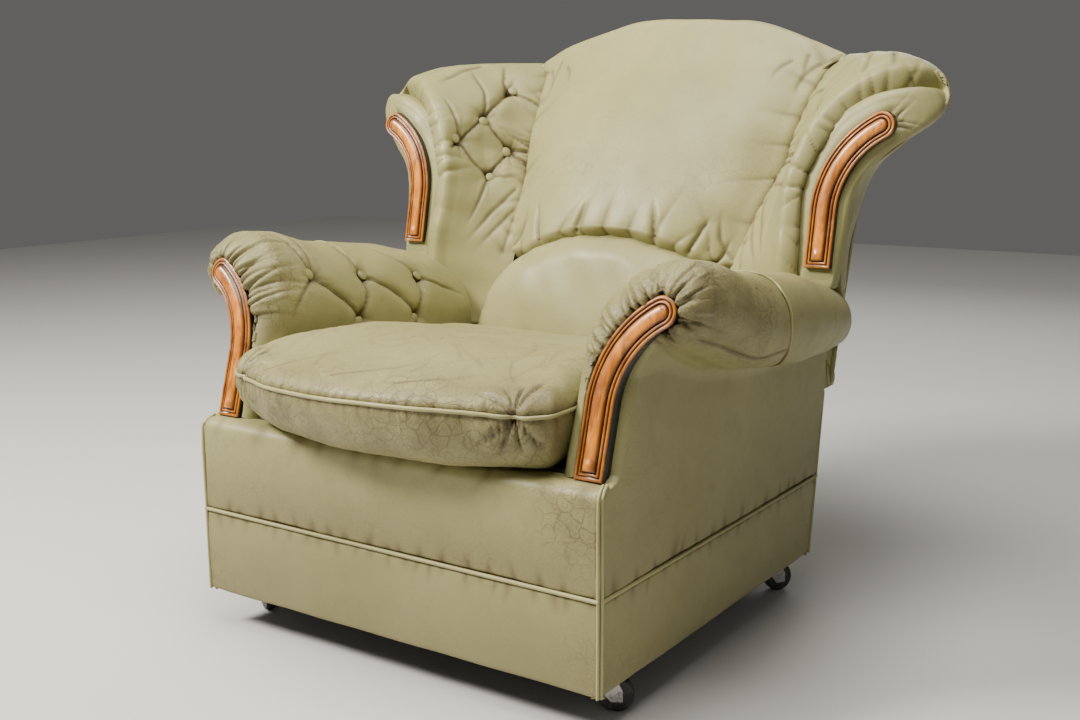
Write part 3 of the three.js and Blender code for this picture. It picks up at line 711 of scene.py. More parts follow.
# ---- shared outlines ------------------------------------------------------------------------------------
def facing_path(form, inset, count):
    """The facing's outline as [x, z], drawn in by `inset`: up its inner side, round its end and down."""
    x, z, straight, radius = (form[key] for key in ("x", "z", "straight", "radius"))
    half = form["half"] - inset
    turned = math.radians(form["turn"])
    tip = np.array([x + radius * (1 - math.cos(turned)), z + straight + radius * math.sin(turned)])

    def side(offset):
        bend = np.linspace(0, turned, 24)
        arc = np.stack([x + radius - (radius - offset) * np.cos(bend),
                        z + straight + (radius - offset) * np.sin(bend)], axis=1)
        foot = np.stack([np.full(10, x + offset), np.linspace(z + inset, z + straight, 11)[:10]], axis=1)
        return np.concatenate([foot, arc])

    round_end = np.linspace(math.pi - turned, -turned, 22)[1:-1]
    end = tip + half * np.stack([np.cos(round_end), np.sin(round_end)], axis=1)
    return evenly(np.concatenate([side(-half), end, side(half)[::-1]]), count)


def facing_outer(z):
    """How far out the arm facing's outer edge reaches at height z."""
    path = facing_path(ARM_FACING, 0, 400)[200:][::-1]
    top = np.argmax(path[:, 0])
    return np.interp(z, path[:top, 1], path[:top, 0])


def arm_plane(z, out=0.0):
    """The y of the arm facing's back at height z, moved `out` to the front."""
    return ARM_PLANE["y"] + ARM_PLANE["thick"] + ARM_PLANE["rake"] * (z - ARM_PLANE["z"]) - out


def wing_plane(x, z, out=0.0):
    """The y of the wing border's face, which sweeps back where the wing rolls outwards."""
    flat = WING_PLANE["y"] + WING_PLANE["thick"] + WING_PLANE["rake"] * (z - WING_PLANE["z"])
    sweep = SWEEP_SLOPE * SWEEP_SOFTNESS * np.log1p(np.exp((x - SWEEP_FROM) / SWEEP_SOFTNESS))
    return flat + sweep - out


def base_rear(z):
    """The y of the base's rear at height z. It leans back."""
    return BASE_REAR + BASE_LEAN * (z - BASE_BOTTOM)


def back_rear(z):
    """The y of the back's rear at height z."""
    return BACK_REAR + BACK_RAKE * (z - BACK_LOW)


def crest(x):
    """The height of the back's top edge."""
    return CREST - SHOULDER_DROP * (np.abs(x) / SHOULDER_HALF) ** 2.2


def surface(form, across, along):
    """Points of form(u, v) on an even grid, u along each row."""
    u, v = np.meshgrid(np.linspace(0, 1, across + 1), np.linspace(0, 1, along + 1))
    return np.stack(form(u, v), axis=-1)

# ---- base -----------------------------------------------------------------------------------------------
SEAM_RADIUS = 3.5
def front_panel_form(u, v):
    x = (2 * u - 1) * BASE_HALF
    rise, roll = 128.0, 18.0
    run = v * (rise + 0.5 * math.pi * roll + 26)
    angle = np.clip((run - rise) / roll, 0, math.pi / 2)
    z = PANEL_LOW + np.minimum(run, rise) + roll * np.sin(angle)
    y = roll * (1 - np.cos(angle)) + np.maximum(0, run - rise - 0.5 * math.pi * roll)
    ends = edge_drop(BASE_HALF - np.abs(x), 7)
    low = edge_drop(z - PANEL_LOW, SEAM_RADIUS)
    return x, y - bulge(5.5, u, np.clip(v / 0.86, 0, 1)) + ends + low + 1.5, z - 0.5 * ends


def border_edges(z):
    return edge_drop(z - BASE_BOTTOM, 7) + edge_drop(BORDER_TOP - z, SEAM_RADIUS)


def front_border_form(u, v):
    x = (2 * u - 1) * (BASE_HALF + 1)
    z = BASE_BOTTOM + v * (BORDER_TOP - BASE_BOTTOM)
    ends = edge_drop(BASE_HALF + 1 - np.abs(x), 6)
    return x, 1.5 - bulge(4, u, v) + ends + border_edges(z), z


def side_border_form(u, v):
    z = BASE_BOTTOM + v * (BORDER_TOP - BASE_BOTTOM)
    y = 3 + u * (base_rear(z) - 3)
    edge = border_edges(z) + edge_drop(y - 3, 6) + edge_drop(base_rear(z) - y, 8)
    return BASE_HALF - 1.5 + bulge(3.5, u, v) - edge, y, z


ROLL = np.array([  # where the arm's roll runs: y, centre x, centre z, radius
    (45, 405, 571, 50), (62, 405, 571, 54), (160, 409, 555, 62), (256, 412, 531, 68), (353, 412, 518, 70),
    (463, 410, 506, 68), (556, 405, 494, 61), (640, 400, 483, 50), (690, 397, 476, 32),
    (706, 396, 473, 20)], float)


def roll_at(y):
    """The arm roll's centre x, centre z and radius at y."""
    return (np.interp(y, ROLL[:, 0], ROLL[:, k]) for k in (1, 2, 3))


def under_roll(y):
    """The height of the roll's underside at y."""
    x, z, r = roll_at(np.maximum(y, 45))
    return z - r


def outside_arm_form(u, v):
    """From the base's front corner along the side, up into the fold under the roll."""
    rough_y = 20 + u * 700
    top = under_roll(rough_y) + 9 + 74 * smooth(rough_y, 668, 708)
    z = PANEL_LOW + v * (top - PANEL_LOW)
    above = smooth(z, 328, 352)
    face = 2 * (1 - above) + arm_plane(z, 0.5) * above
    rear = np.where(z < 342, base_rear(z), 746 - 0.10 * (z - 342))
    corner = 5 + 9 * above
    wall_front = np.maximum(BASE_HALF, facing_outer(z) + 9 * above)
    inner = wall_front - corner - 3 - above * (wall_front - corner - facing_outer(z))
    front_share, turn_share = 0.05, 0.11
    x_front = inner + (wall_front - corner - inner) * np.clip(u / front_share, 0, 1)
    angle = np.clip((u - front_share) / (turn_share - front_share), 0, 1) * math.pi / 2
    along = np.clip((u - turn_share) / (1 - turn_share), 0, 1)
    y = face + corner * (1 - np.cos(angle)) + along * (rear - face - corner)
    settle = 1 - smooth(y - face, 12, 135)
    wall = BASE_HALF - 0.5 + (wall_front - BASE_HALF) * settle
    tuck = 9 * smooth(top - z, 34, 0) * (1 - settle)
    x = np.where(u < turn_share, x_front + corner * np.sin(angle), wall + tuck + bulge(4, along, v, 0.6, 0.8))
    return x - edge_drop(z - PANEL_LOW, SEAM_RADIUS) - edge_drop(rear - y, 8), y, z


def base_back_form(u, v):
    x = (2 * u - 1) * (BASE_HALF - 2)
    z = BASE_BOTTOM + v * (BASE_TOP + 2 - BASE_BOTTOM)
    edge = edge_drop(BASE_HALF - 2 - np.abs(x), 9) + edge_drop(z - BASE_BOTTOM, 7)
    return x, base_rear(z) - 1.5 + bulge(3, u, v) - edge, z


def piping(name, line, side=1, radius=PIPE):
    cord(name, metres(line, side), radius)


def scuffs(points, centre, size):
    """Wear that fades with the distance from a rubbed place, over `size` in mm."""
    return np.exp(-(np.linalg.norm(points - metres(centre), axis=-1) / (size * MM)) ** 2)


def front_line(z):
    return metres([(-366, 0, z), (366, 0, z)])


def side_line(z, side):
    return metres([(370, 6, z), (370, 700, z)], side)


def build_base():
    # The fields that fade out between two heights are painted shade, which darkens these pieces towards the
    # floor.
    inside = metres((0, 350, 200))
    front = metres(surface(front_panel_form, 150, 60))
    leather("front_panel_leather", front, inside, "front_panel", [
        ripples(11, 150, 0.8), painted_low_shade(PANEL_LOW, 330, 0.5),
        gathers(front_line(BASE_TOP), 60, 1.0, 30, 5, slant=0.8),
        gathers(front_line(197), 34, 0.6, 20, 6)], 0.65 * scuffs(front, (345, 10, 300), 55) + 0.28)
    border = metres(surface(front_border_form, 150, 36))
    wear = 0.5 * scuffs(border, (360, 0, 90), 60) + 0.4 * scuffs(border, (-350, 0, 80), 60) + 0.06
    leather("front_border_leather", border, inside, "front_border", [
        ripples(12, 150, 0.5), painted_low_shade(40, 330, 0.48), gathers(front_line(BORDER_TOP), 30, 0.6, 20, 7)], wear)
    leather("base_back_leather", metres(surface(base_back_form, 90, 50)), inside, "base_back_panel",
            [ripples(13, 130, 1.4), painted_low_shade(60, 300, 0.25)])
    for word, side in SIDES:
        lower = metres(surface(side_border_form, 130, 36), side)
        wear = 0.6 * scuffs(lower, (side * 370, 10, 90), 60) + 0.4 * scuffs(lower, (side * 370, 690, 80), 70)
        leather(f"side_border_leather_{word}", lower, inside, f"side_border_{word}", [
            ripples(14 + side, 150, 0.5), painted_low_shade(40, 330, 0.34),
            gathers(side_line(BORDER_TOP, side), 32, 0.8, 18, 9 + side)], wear)
        panel = metres(surface(outside_arm_form, 190, 96), side)
        heart = metres((150, 400, 330), side)
        leather(f"outside_arm_leather_{word}", panel, heart, f"outside_arm_panel_{word}", [
            ripples(17 + side, 170, 1.3), painted_low_shade(200, 420, 0.3),
            gathers(side_line(198, side), 40, 0.9, 22, 12 + side)],
            0.35 * scuffs(panel, (side * 372, 60, 420), 130))
    piping("front_piping", curve([(-368, 0.5, BASE_SEAM), (368, 0.5, BASE_SEAM)], 60))
    for word, side in SIDES:
        seam_ends = [(370.5, 4, BASE_SEAM), (370.5, base_rear(BASE_SEAM) - 6, BASE_SEAM)]
        piping(f"side_piping_{word}", curve(seam_ends, 60), side)
        for number, (x, y) in enumerate(((366.5, 1.0), (369.8, 5.8)), 1):
            corner = [(x, y, BASE_BOTTOM + 2), (x + 0.3, y, 190), (x, y, 318), (x - 2, y + 6, 336),
                      (x - 5, y + 20, 344)]
            piping(f"corner_piping_{word}_{number}", curve(corner, 50), side, THIN_PIPE)
        rear = [(368.5, base_rear(z) - 3.5, z) for z in (60, 150, 240, 340)]
        piping(f"rear_piping_{word}", curve(rear, 40), side, THIN_PIPE)

# ---- arms -----------------------------------------------------------------------------------------------
def arm_section(y):
    """The arm's section at station y as control points: up its inner face, over the roll, back under it."""
    x, z, r = roll_at(y)
    wall = np.interp(y, [45, 160, 706], [279, 283, 288])
    floor = BASE_TOP + 2
    top = z + r
    shoulder = floor + (top - floor) * 0.45
    points = [(wall, floor - 8), (wall + 0.3, floor + 30), (wall + 1, floor + 0.6 * (shoulder - floor))]
    for angle in np.radians(np.linspace(180, 90, 9)[:-1]):
        points.append((x + (x - wall - 2) * math.cos(angle), shoulder + (top - shoulder) * math.sin(angle)))
    for angle in np.radians(np.linspace(90, -100, 11)):
        points.append((x + r * math.cos(angle), z + r * math.sin(angle)))
    points.append((min(x - 14, 388), z - r - 1))
    points.append((374, z - r - 9))
    return np.array(points)


ARM_AROUND, ARM_ALONG, ARM_CAP = 290, 116, 44
ARM_FRONT_STATION = 75


def leaned(section, station, out=0.0):
    """Section points [x, z] at a station, `out` to the front of it, leaning back with the facing."""
    y = station - out
    fade = np.clip(1 - (y - 45) / 240, 0, 1)
    lean = ARM_PLANE["rake"] * (section[:, 1] - ARM_PLANE["z"]) * fade
    return np.stack([section[:, 0], y + lean, section[:, 1]], axis=1)


ARM_TO_FACING = [  # places on the arm's front edge, the facing's places they are drawn in to, and their swell
    ((279, 344), (315, 347), 46), ((285, 470), (317, 470), 50), ((300, 545), (340, 520), 51),
    ((338, 596), (374, 560), 52), ((405, 623.7), (396, 580), 52), ((448, 603), (422, 572), 50),
    ((460, 566), (422, 556), 46), ((440, 526), (412, 543), 38), ((374, 505), (398, 532), 34)]


def arm_rows():
    """The arm as rows of points in mm, from its closed rear end to the facing."""
    rear = ROLL[-1, 0]
    last = curve(arm_section(rear), ARM_AROUND)
    hub = np.array([384.0, 455.0])
    rows = [leaned(hub + (last - hub) * (1 - share ** 2) ** 0.5, rear + 12 * share)
            for share in (1.0, 0.985, 0.93, 0.8, 0.55)]
    stations = np.linspace(rear, ARM_FRONT_STATION, ARM_ALONG)
    rows += [leaned(curve(arm_section(y), ARM_AROUND), y) for y in stations]
    edge = curve(arm_section(ARM_FRONT_STATION), ARM_AROUND)
    run = run_along(edge)
    path = facing_path(ARM_FACING, 3, 300)
    path_run = run_along(path)
    own, other = paired(edge, run, path, path_run, ARM_TO_FACING)
    target = on_line(path, path_run, np.interp(run, own, other))
    swell = np.interp(run, own, [row[2] for row in ARM_TO_FACING])
    for share in np.linspace(0, 1, ARM_CAP + 1)[1:]:
        turn, flat = turned_in(share, 0.72, 0.28)
        inwards = 0.8 * (1 - math.cos(turn)) + 0.2 * flat
        out = swell * math.sin(turn) - 9 * flat ** 1.6
        rows.append(leaned(edge + (target - edge) * inwards, ARM_FRONT_STATION, out))
    return np.array(rows)


def tufts_on(skin, side, spots):
    """Where a table's buttons sit on the skin."""
    return {key: snap(skin, metres(spot, side)) for key, spot in spots.items()}


def tuft_folds(skin, side, tufts, table):
    """The folds of a table, each along a line of rough places and buttons, laid onto the skin."""
    made = []
    for line, values in table:
        rough = [tufts[spot] if isinstance(spot, str) else metres(spot, side) for spot in line]
        made.append(fold(laid_on(skin, np.array(rough), 26), *values))
    return made


def button_pulls(centres, dent, facing, pleats, seed):
    """A dimple at each button, and the short pleats around it."""
    return [dimple(centre, *dent) for centre in centres] + [
        rays(centre, facing, *pleats, seed + number) for number, centre in enumerate(centres)]


ARM_BUTTONS = {"a": (286, 204, 562), "b": (286, 331, 556), "c": (286, 477, 541), "d": (282, 294, 470),
               "e": (282, 440, 454)}
ARM_TUCK = (7.5, 5.2, 4.4, 0.0, 15)
ARM_FOLDS = [  # a line from a button through rough places, then depth, width, lip, fade and reach
    (("a", (310, 196, 590), (360, 190, 618), (404, 186, 622)), (6, 4.5, 1.8, 0.55)),
    (("a", (306, 214, 588), (352, 222, 612), (398, 230, 612)), (5, 4.5, 1.5, 0.55)),
    (("b", (310, 326, 574), (352, 318, 588), (404, 310, 590)), (6, 4.5, 2.0, 0.5)),
    (("c", (306, 462, 560), (345, 430, 572), (398, 400, 584)), (5.5, 4.5, 1.8, 0.5)),
    (("a", (284, 250, 515), "d"), ARM_TUCK), (("b", (284, 318, 508), "d"), ARM_TUCK),
    (("b", (284, 392, 508), "e"), ARM_TUCK), (("c", (284, 466, 494), "e"), ARM_TUCK),
    (("d", (283, 286, 420), (280, 280, 380)), (5, 5, 1.8, 0.6)),
    (("e", (284, 440, 420), (282, 440, 380)), (5, 5, 1.8, 0.6)),
    (("c", (288, 540, 500), (288, 600, 470)), (5, 5, 1.8, 0.6)),
    (("a", (282, 150, 520), (280, 110, 470)), (4, 5, 1.4, 0.7))]
ARM_CREASE = [(472, 332, 480), (464, 250, 474), (456, 160, 496), (447, 98, 526)]
ARM_SEAM = [(392, 322, 588), (412, 326, 590), (441, 331, 580), (468, 328, 557), (482, 326, 528),
            (480, 334, 498), (464, 354, 468), (442, 378, 452), (418, 392, 448)]
ARM_REAR_SEAM = [(400, 500, 574), (448, 512, 556), (478, 520, 510), (462, 500, 462), (430, 480, 440)]


def build_arm(word, side):
    skin = metres(arm_rows(), side)
    inside = metres((372, 350, 470), side)
    tufts = tufts_on(skin, side, ARM_BUTTONS)
    centres = list(tufts.values())
    folds = tuft_folds(skin, side, tufts, ARM_FOLDS)
    folds.append(fold(laid_on(skin, metres(ARM_CREASE, side), 40), 3.5, 2.6, 1.2, 0.2))
    around = facing_path(ARM_FACING, 0, 90)
    pleated = np.stack([around[:, 0], arm_plane(around[:, 1], 24), around[:, 1]], axis=1)
    gather_line = metres(pleated[nearest(around, (322, 500)):74], side)
    seam_at = laid_on(skin, metres(ARM_SEAM, side), 60)
    behind = laid_on(skin, metres(ARM_REAR_SEAM, side), 40)
    fields = [tufting(folds)] + button_pulls(centres, (12, 22), (-side, 0, 0.15), (6, 2.6, 22), 43) + [
        gathers(gather_line, 12, 6.5, 56, 31 + side, width=0.19, slant=0.3, puff=0.25),
        gathers(gather_line, 31, 5.0, 76, 33 + side, width=0.09, slant=0.3, puff=0.4),
        gathers(gather_line, 10, 1.3, 24, 35 + side, width=0.3, slant=0.5),
        gathers(metres([(280, 60, 350), (282, 560, 350)], side), 44, 2.0, 40, 37 + side, slant=0.8),
        seam(seam_at, 1.6, 5, 0.3), seam(behind, 1.2, 3.5, 0.2), ripples(41 + side, 95, 1.5)]
    run_back = (skin[..., 1] - FRONT) / MM
    front = np.exp(-np.maximum(0, run_back - 90) / 95) * smooth(skin[..., 2] / MM, 400, 560)
    outer = smooth(side * skin[..., 0] / MM, 410, 460) * 0.6
    wear = 0.16 + 0.75 * front + outer * np.exp(-(run_back - 200) ** 2 / 170 ** 2)
    shaped = leather(f"arm_leather_{word}", skin, inside, f"arm_pad_{word}", fields, wear)
    buttons_on(f"arm_button_{word}", shaped, inside, centres)
    outwards = seam_at - metres((411, 340, 518), side)
    outwards[:, 1] = 0
    outwards /= np.linalg.norm(outwards, axis=1, keepdims=True)
    cord(f"arm_seam_cord_{word}", curve(seam_at - outwards * 0.0002, 90), 1.9)


# ---- wooden facings -------------------------------------------------------------------------------------
# Outer bead, groove, second bead, groove and the broad middle: how far in, and how far below the top.
MOULDING = [
    (0, 9), (0.1, 7.4), (0.6, 6.0), (1.5, 5.0), (2.7, 4.5), (3.9, 4.7), (4.9, 5.5), (5.5, 6.8), (6.0, 7.0),
    (6.5, 5.9), (7.2, 4.7), (8.2, 4.1), (9.2, 4.3), (10.0, 5.2), (10.5, 6.8), (11.0, 7.0), (11.5, 5.4),
    (12.3, 3.4), (13.5, 1.9), (15.0, 1.0), (17.0, 0.4), (19.5, 0.05), (21.98, 0)]
GROOVES, GROOVE_DEPTH = (5.8, 10.8), 7.0


def build_facing(part, word, side, form, plane):
    """A moulded facing with black sides, and a small raised square low down in its middle."""
    count = 240
    thick, rake = plane["thick"], plane["rake"]
    foot = plane["y"] + rake * (form["z"] - plane["z"]) + thick
    rows, groove, flank = [], [], []
    for inset, fall in [(0, thick)] + MOULDING:
        path = facing_path(form, inset, count)
        x, z = np.concatenate([path, path[:1]]).T
        boss = 1 - np.maximum(np.abs(x - form["x"]), np.abs(z - form["z"] - 20.5)) / 8.5
        raised = thick - fall + (2.6 * np.clip(boss, 0, 1) if inset > 12 else 0)
        rows.append(np.stack([x, foot - raised + rake * (z - form["z"]), z], axis=1))
        near = min(abs(inset - centre) for centre in GROOVES)
        stain = 0.8 * math.exp(-((inset - 11.6) / 2.6) ** 2) if inset > 11 else 0.30 * (inset > 0)
        groove.append(np.full(count + 1, math.exp(-(near / 0.9) ** 2) + stain))
        flank.append(np.full(count + 1, 1.0 if fall > GROOVE_DEPTH else 0.4 if inset == 0.6 else 0.0))
    points = metres(np.array(rows), side)
    values = {"groove": np.clip(groove, 0, 1), "side": np.array(flank)}
    mesh = grid_mesh(f"{part}_facing_wood_{word}", points, values)
    finish_mesh(mesh, points[0].mean(axis=0), 2e-5)
    place(mesh, FACING_WOOD, "polished_wood", f"{part}_facing_{word}")
# ---- wings ----------------------------------------------------------------------------------------------
WING_ROWS = [  # each row runs from the joint with the pillow, over the tufted face and the roll, to the tuck
    [(247, 612, 415), (275, 603, 415), (305, 594, 417), (332, 586, 420), (356, 578, 424), (378, 584, 424)],
    [(244, 645, 552), (272, 628, 551), (303, 606, 552), (330, 586, 556), (352, 571, 562), (375, 583, 562)],
    [(244, 690, 630), (270, 668, 632), (302, 636, 635), (326, 606, 638), (345, 588, 640), (369, 597, 640)],
    [(257, 736, 683), (282, 702, 688), (312, 664, 693), (331, 628, 698), (345, 603, 700), (370, 610, 699)],
    [(268, 768, 725), (294, 735, 733), (324, 697, 742), (343, 655, 750), (358, 618, 757), (386, 622, 748)],
    [(270, 790, 770), (297, 762, 782), (331, 722, 796), (359, 677, 806), (386, 634, 813), (416, 641, 797)],
    [(275, 818, 808), (303, 792, 822), (342, 749, 838), (385, 702, 850), (427, 655, 854), (453, 669, 825)],
    [(282, 845, 845), (315, 817, 858), (361, 774, 871), (416, 726, 881), (472, 692, 880), (497, 706, 840)],
    [(294, 878, 885), (335, 840, 893), (389, 795, 898), (449, 747, 900), (518, 722, 884), (541, 738, 850)],
    [(318, 903, 912), (362, 858, 911), (424, 800, 908), (490, 755, 898), (534, 736, 878), (552, 724, 848)],
    [(322, 918, 906), (372, 892, 906), (438, 848, 900), (505, 798, 886), (546, 762, 862), (565, 712, 836)],
    [(322, 930, 886), (388, 922, 880), (434, 908, 864), (492, 856, 852), (542, 786, 836), (565, 706, 820)],
    [(322, 920, 846), (386, 910, 838), (428, 894, 828), (474, 838, 820), (512, 778, 812), (545, 716, 808)],
]
WING_BUTTONS = {"a": (322, 786, 866), "b": (338, 719, 806), "c": (362, 656, 756), "d": (293, 741, 741),
                "e": (311, 690, 692)}
WING_TUCK = (7, 3.6, 4.6, 0.0, 15)
WING_FOLDS = [  # a line from a button through rough places, then depth, width, lip, fade and reach
    (("a", "b"), WING_TUCK), (("b", "c"), WING_TUCK), (("d", "e"), WING_TUCK),
    (("b", (314, 722, 776), "d"), WING_TUCK), (("c", (334, 668, 716), "e"), WING_TUCK),
    (("a", (342, 795, 885), (372, 835, 911)), (5, 4.5, 1.8, 0.4)),
    (("a", (298, 812, 840), (280, 828, 822)), (6, 4.0, 2.2)),
    (("b", (356, 745, 852), (392, 758, 890), (424, 775, 905)), (5, 5, 1.8, 0.5)),
    (("c", (352, 640, 752), (350, 622, 748)), (6, 4.5, 2.0, 0.3)),
    (("d", (280, 752, 742), (268, 765, 740)), (6, 4, 2.0)),
    (("d", (281, 748, 730), (264, 758, 716)), (5, 4, 1.6)),
    (("e", (316, 660, 640), (330, 628, 590)), (5, 5, 1.8, 0.75)),
    (("e", (290, 712, 684), (262, 738, 690)), (3.5, 5, 1.2, 0.6)),
    (("c", (372, 662, 800), (404, 668, 845)), (5, 5, 1.8, 0.5))]
WING_CREASES = [  # a line of rough places, then depth, width, lip and fade
    ([(262, 712, 664), (290, 655, 612), (318, 612, 560)], (3.2, 8, 1.2, 0.5)),
    ([(250, 690, 628), (272, 655, 590), (296, 620, 553)], (3.0, 9, 1.2, 0.5)),
    ([(404, 800, 905), (420, 745, 885), (432, 690, 862)], (6, 7, 2.2, 0.35)),
    ([(456, 770, 901), (470, 730, 890), (478, 700, 872)], (4, 6, 1.8, 0.4))]
WING_NEAR_D = [(264, 752, 700), (268, 768, 740), (270, 784, 768)]
BORDER_LINE = [(407, 533), (388, 534), (378, 544), (371, 586), (369, 640), (370, 699), (386, 748), (416, 797),
               (453, 826), (494, 840), (528, 844), (551, 839), (562, 824), (559, 808), (546, 791), (522, 772),
               (492, 747), (464, 714), (449, 678), (442, 604), (437, 544), (426, 534), (407, 533)]


BORDER_TO_FACING = [  # places on the border's edge, and the facing's places they are drawn in to
    ((378, 544), (393, 575)), ((370, 699), (396, 690)), ((416, 797), (432, 762)), ((494, 840), (478, 797)),
    ((545, 842), (498, 801)), ((562, 824), (505, 795)), ((546, 791), (504, 784)), ((464, 714), (453, 708)),
    ((442, 604), (428, 618)), ((437, 544), (427, 575))]


def wing_cage():
    """The wing's rows with both ends carried on out of sight, behind the pillow and past the tuck."""
    rows = []
    for number, row in enumerate(np.array(WING_ROWS, float)):
        past_tuck = (-4, 26, -4) if number < 8 else (-14, 4, -14) if number < 9 else (-27, -9, -12)
        before = row[0] + ((-8, -8, -12) if number > 7 else -0.7 * (row[1] - row[0]))
        rows.append(np.concatenate([[before], row, [row[5] + past_tuck]]))
    return cage(rows, 150, 210)


def build_wing(word, side):
    skin = metres(wing_cage(), side)
    inside = metres((430, 820, 700), side)
    tufts = tufts_on(skin, side, WING_BUTTONS)
    centres = list(tufts.values())
    folds = tuft_folds(skin, side, tufts, WING_FOLDS)
    folds += [fold(laid_on(skin, metres(line, side)), *values) for line, values in WING_CREASES]
    joint, tuck = (laid_on(skin, metres([row[end] for row in WING_ROWS[1:10]], side), 60) for end in (0, 5))
    near_d = laid_on(skin, metres(WING_NEAR_D, side))
    fields = [tufting(folds)] + button_pulls(centres, (13, 23), (-side, -0.9, 0.2), (7, 3.0, 24), 65) + [
        gathers(tuck, 24, 4.2, 44, 51 + side, width=0.10, slant=0.8, start=0.3, end=0.9),
        gathers(tuck, 36, 2.4, 30, 55 + side, width=0.07, slant=0.9, end=0.35),
        gathers(joint, 34, 2.2, 30, 57 + side, width=0.25, slant=0.7),
        gathers(near_d, 9, 3.2, 46, 61 + side, width=0.25, slant=0.4),
        seam(joint, 3, 7, 0.3), ripples(63 + side, 90, 1.8)]
    wear = 0.25 * smooth(skin[..., 2] / MM, 860, 905)
    shaped = leather(f"wing_leather_{word}", skin, inside, f"wing_pad_{word}", fields, wear)
    buttons_on(f"wing_button_{word}", shaped, inside, centres)


def border_row(spot, y):
    return np.stack([spot[:, 0], y, spot[:, 1]], axis=1)


def border_rows():
    """The border as rows of points in mm, from behind its edge, over it, and in to the facing."""
    count = 250
    edge = curve(np.array(BORDER_LINE, float), count)
    foot = [(WING_FACING["x"], WING_FACING["z"] + 4)]
    path = curve(np.concatenate([foot, facing_path(WING_FACING, 4, 120), foot]), 300)
    run = np.linspace(0, 1, count + 1)
    path_run = np.linspace(0, 1, len(path))
    own, other = paired(edge, run, path, path_run, BORDER_TO_FACING)
    target = on_line(path, path_run, np.interp(run, [0] + own + [1], [0] + other + [1]))
    away = edge - target
    away /= np.linalg.norm(away, axis=1, keepdims=True)
    tucked = smooth(run, own[0], own[0] + 0.05) * (1 - smooth(run, own[4] - 0.02, own[4] + 0.05))
    edge = edge + away * 7 * tucked[:, None]
    deeper = 1 + 0.6 * smooth(edge[:, 0], 455, 520) * smooth(edge[:, 1], 795, 832)
    behind = wing_plane(edge[:, 0], edge[:, 1])
    rows = [border_row(edge + (target - edge) * 0.7, behind + 30 * deeper)]
    rows += [border_row(edge, behind + back * deeper) for back in (26, 18, 11)]
    for share in np.linspace(0, 1, 34):
        turn, flat = turned_in(share, 0.42, 0.58)
        spot = edge + (target - edge) * (0.42 * (1 - math.cos(turn)) + 0.58 * flat)
        out = -9 * (1 - math.sin(turn)) + 1.5 * math.sin(math.pi * flat)
        rows.append(border_row(spot, wing_plane(spot[:, 0], spot[:, 1], out)))
    return np.array(rows)


def build_border(word, side):
    """The strip round the wing facing, with a lobe behind its round top, turned over at its edge."""
    tip = metres([(x, wing_plane(x, z), z) for x, z in ((498, 812), (515, 800), (514, 784))], side)
    leather(f"wing_border_leather_{word}", metres(border_rows(), side), metres((460, 760, 720), side),
            f"wing_border_{word}",
            [gathers(tip, 9, 2.6, 26, 71 + side, width=0.25), ripples(73 + side, 70, 0.9)], wall=3)


WING_OUTER = np.array([  # height, outer edge x and y, rear edge x
    (345, 368, 744, 366), (430, 369, 733, 366), (485, 372, 712, 366), (500, 400, 676, 366),
    (518, 434, 632, 366), (535, 438, 616, 366), (580, 440, 610, 366), (620, 442, 606, 368),
    (680, 450, 618, 376), (720, 467, 628, 390), (760, 508, 654, 410), (790, 536, 686, 424),
    (812, 551, 706, 432), (835, 547, 734, 436)], float)


def build_outside_wing(word, side):
    rows = []
    stations = (345, 400, 450, 485, 500, 518, 535, 556, 580, 610, 640, 680, 720, 755, 785, 808, 826, 842)
    for z in stations:
        x_out, y_out, x_rear = (np.interp(z, WING_OUTER[:, 0], WING_OUTER[:, k]) for k in (1, 2, 3))
        y_rear = back_rear(z) - 5
        way = np.array([x_rear - x_out, y_rear - y_out])
        normal = np.array([way[1], -way[0]]) / np.linalg.norm(way)
        row = [(x_out - 16, y_out + 4, z), (x_out - 5, y_out + 2, z), (x_out + 0.5, y_out + 10, z)]
        for share in (0.3, 0.55, 0.8):
            bow = 9 * math.sin(math.pi * share) * float(smooth(np.array(z), 560, 680))
            spot = np.array([x_out, y_out]) + way * share + normal * bow
            row.append((spot[0], spot[1], z))
        row += [(x_rear + 1.5, y_rear - 10, z), (x_rear - 3, y_rear + 1, z), (x_rear - 14, y_rear + 2, z)]
        rows.append(row)
    lower = metres([(437, 640, 562), (430, 700, 545), (380, 740, 520)], side)
    leather(f"outside_wing_leather_{word}", metres(cage(rows, 90, 130), side), metres((300, 800, 640), side),
            f"outside_wing_{word}",
            [ripples(81 + side, 120, 1.6), gathers(lower, 26, 2.2, 44, 83 + side, slant=0.7)])


# ---- back -----------------------------------------------------------------------------------------------
JOINT_RIDGE = np.array([row[0] for row in WING_ROWS[1:10]], float)
LUMBAR = {"half": 274, "base": 417, "rise": 188, "front": 556, "rake": 0.22, "bottom": 345}


def lumbar_top(x):
    """The height of the lumbar pad's arched top edge."""
    return LUMBAR["base"] + LUMBAR["rise"] * np.sqrt(np.clip(1 - (x / LUMBAR["half"]) ** 2, 0, 1))


def tucked_ends(row, out, back, drop):
    """A row with its ends carried on out of sight, between the neighbouring pads."""
    left, right = row[0] + (-out, back, -drop), row[-1] + (out, back, -drop)
    return np.concatenate([[left], row, [right]])


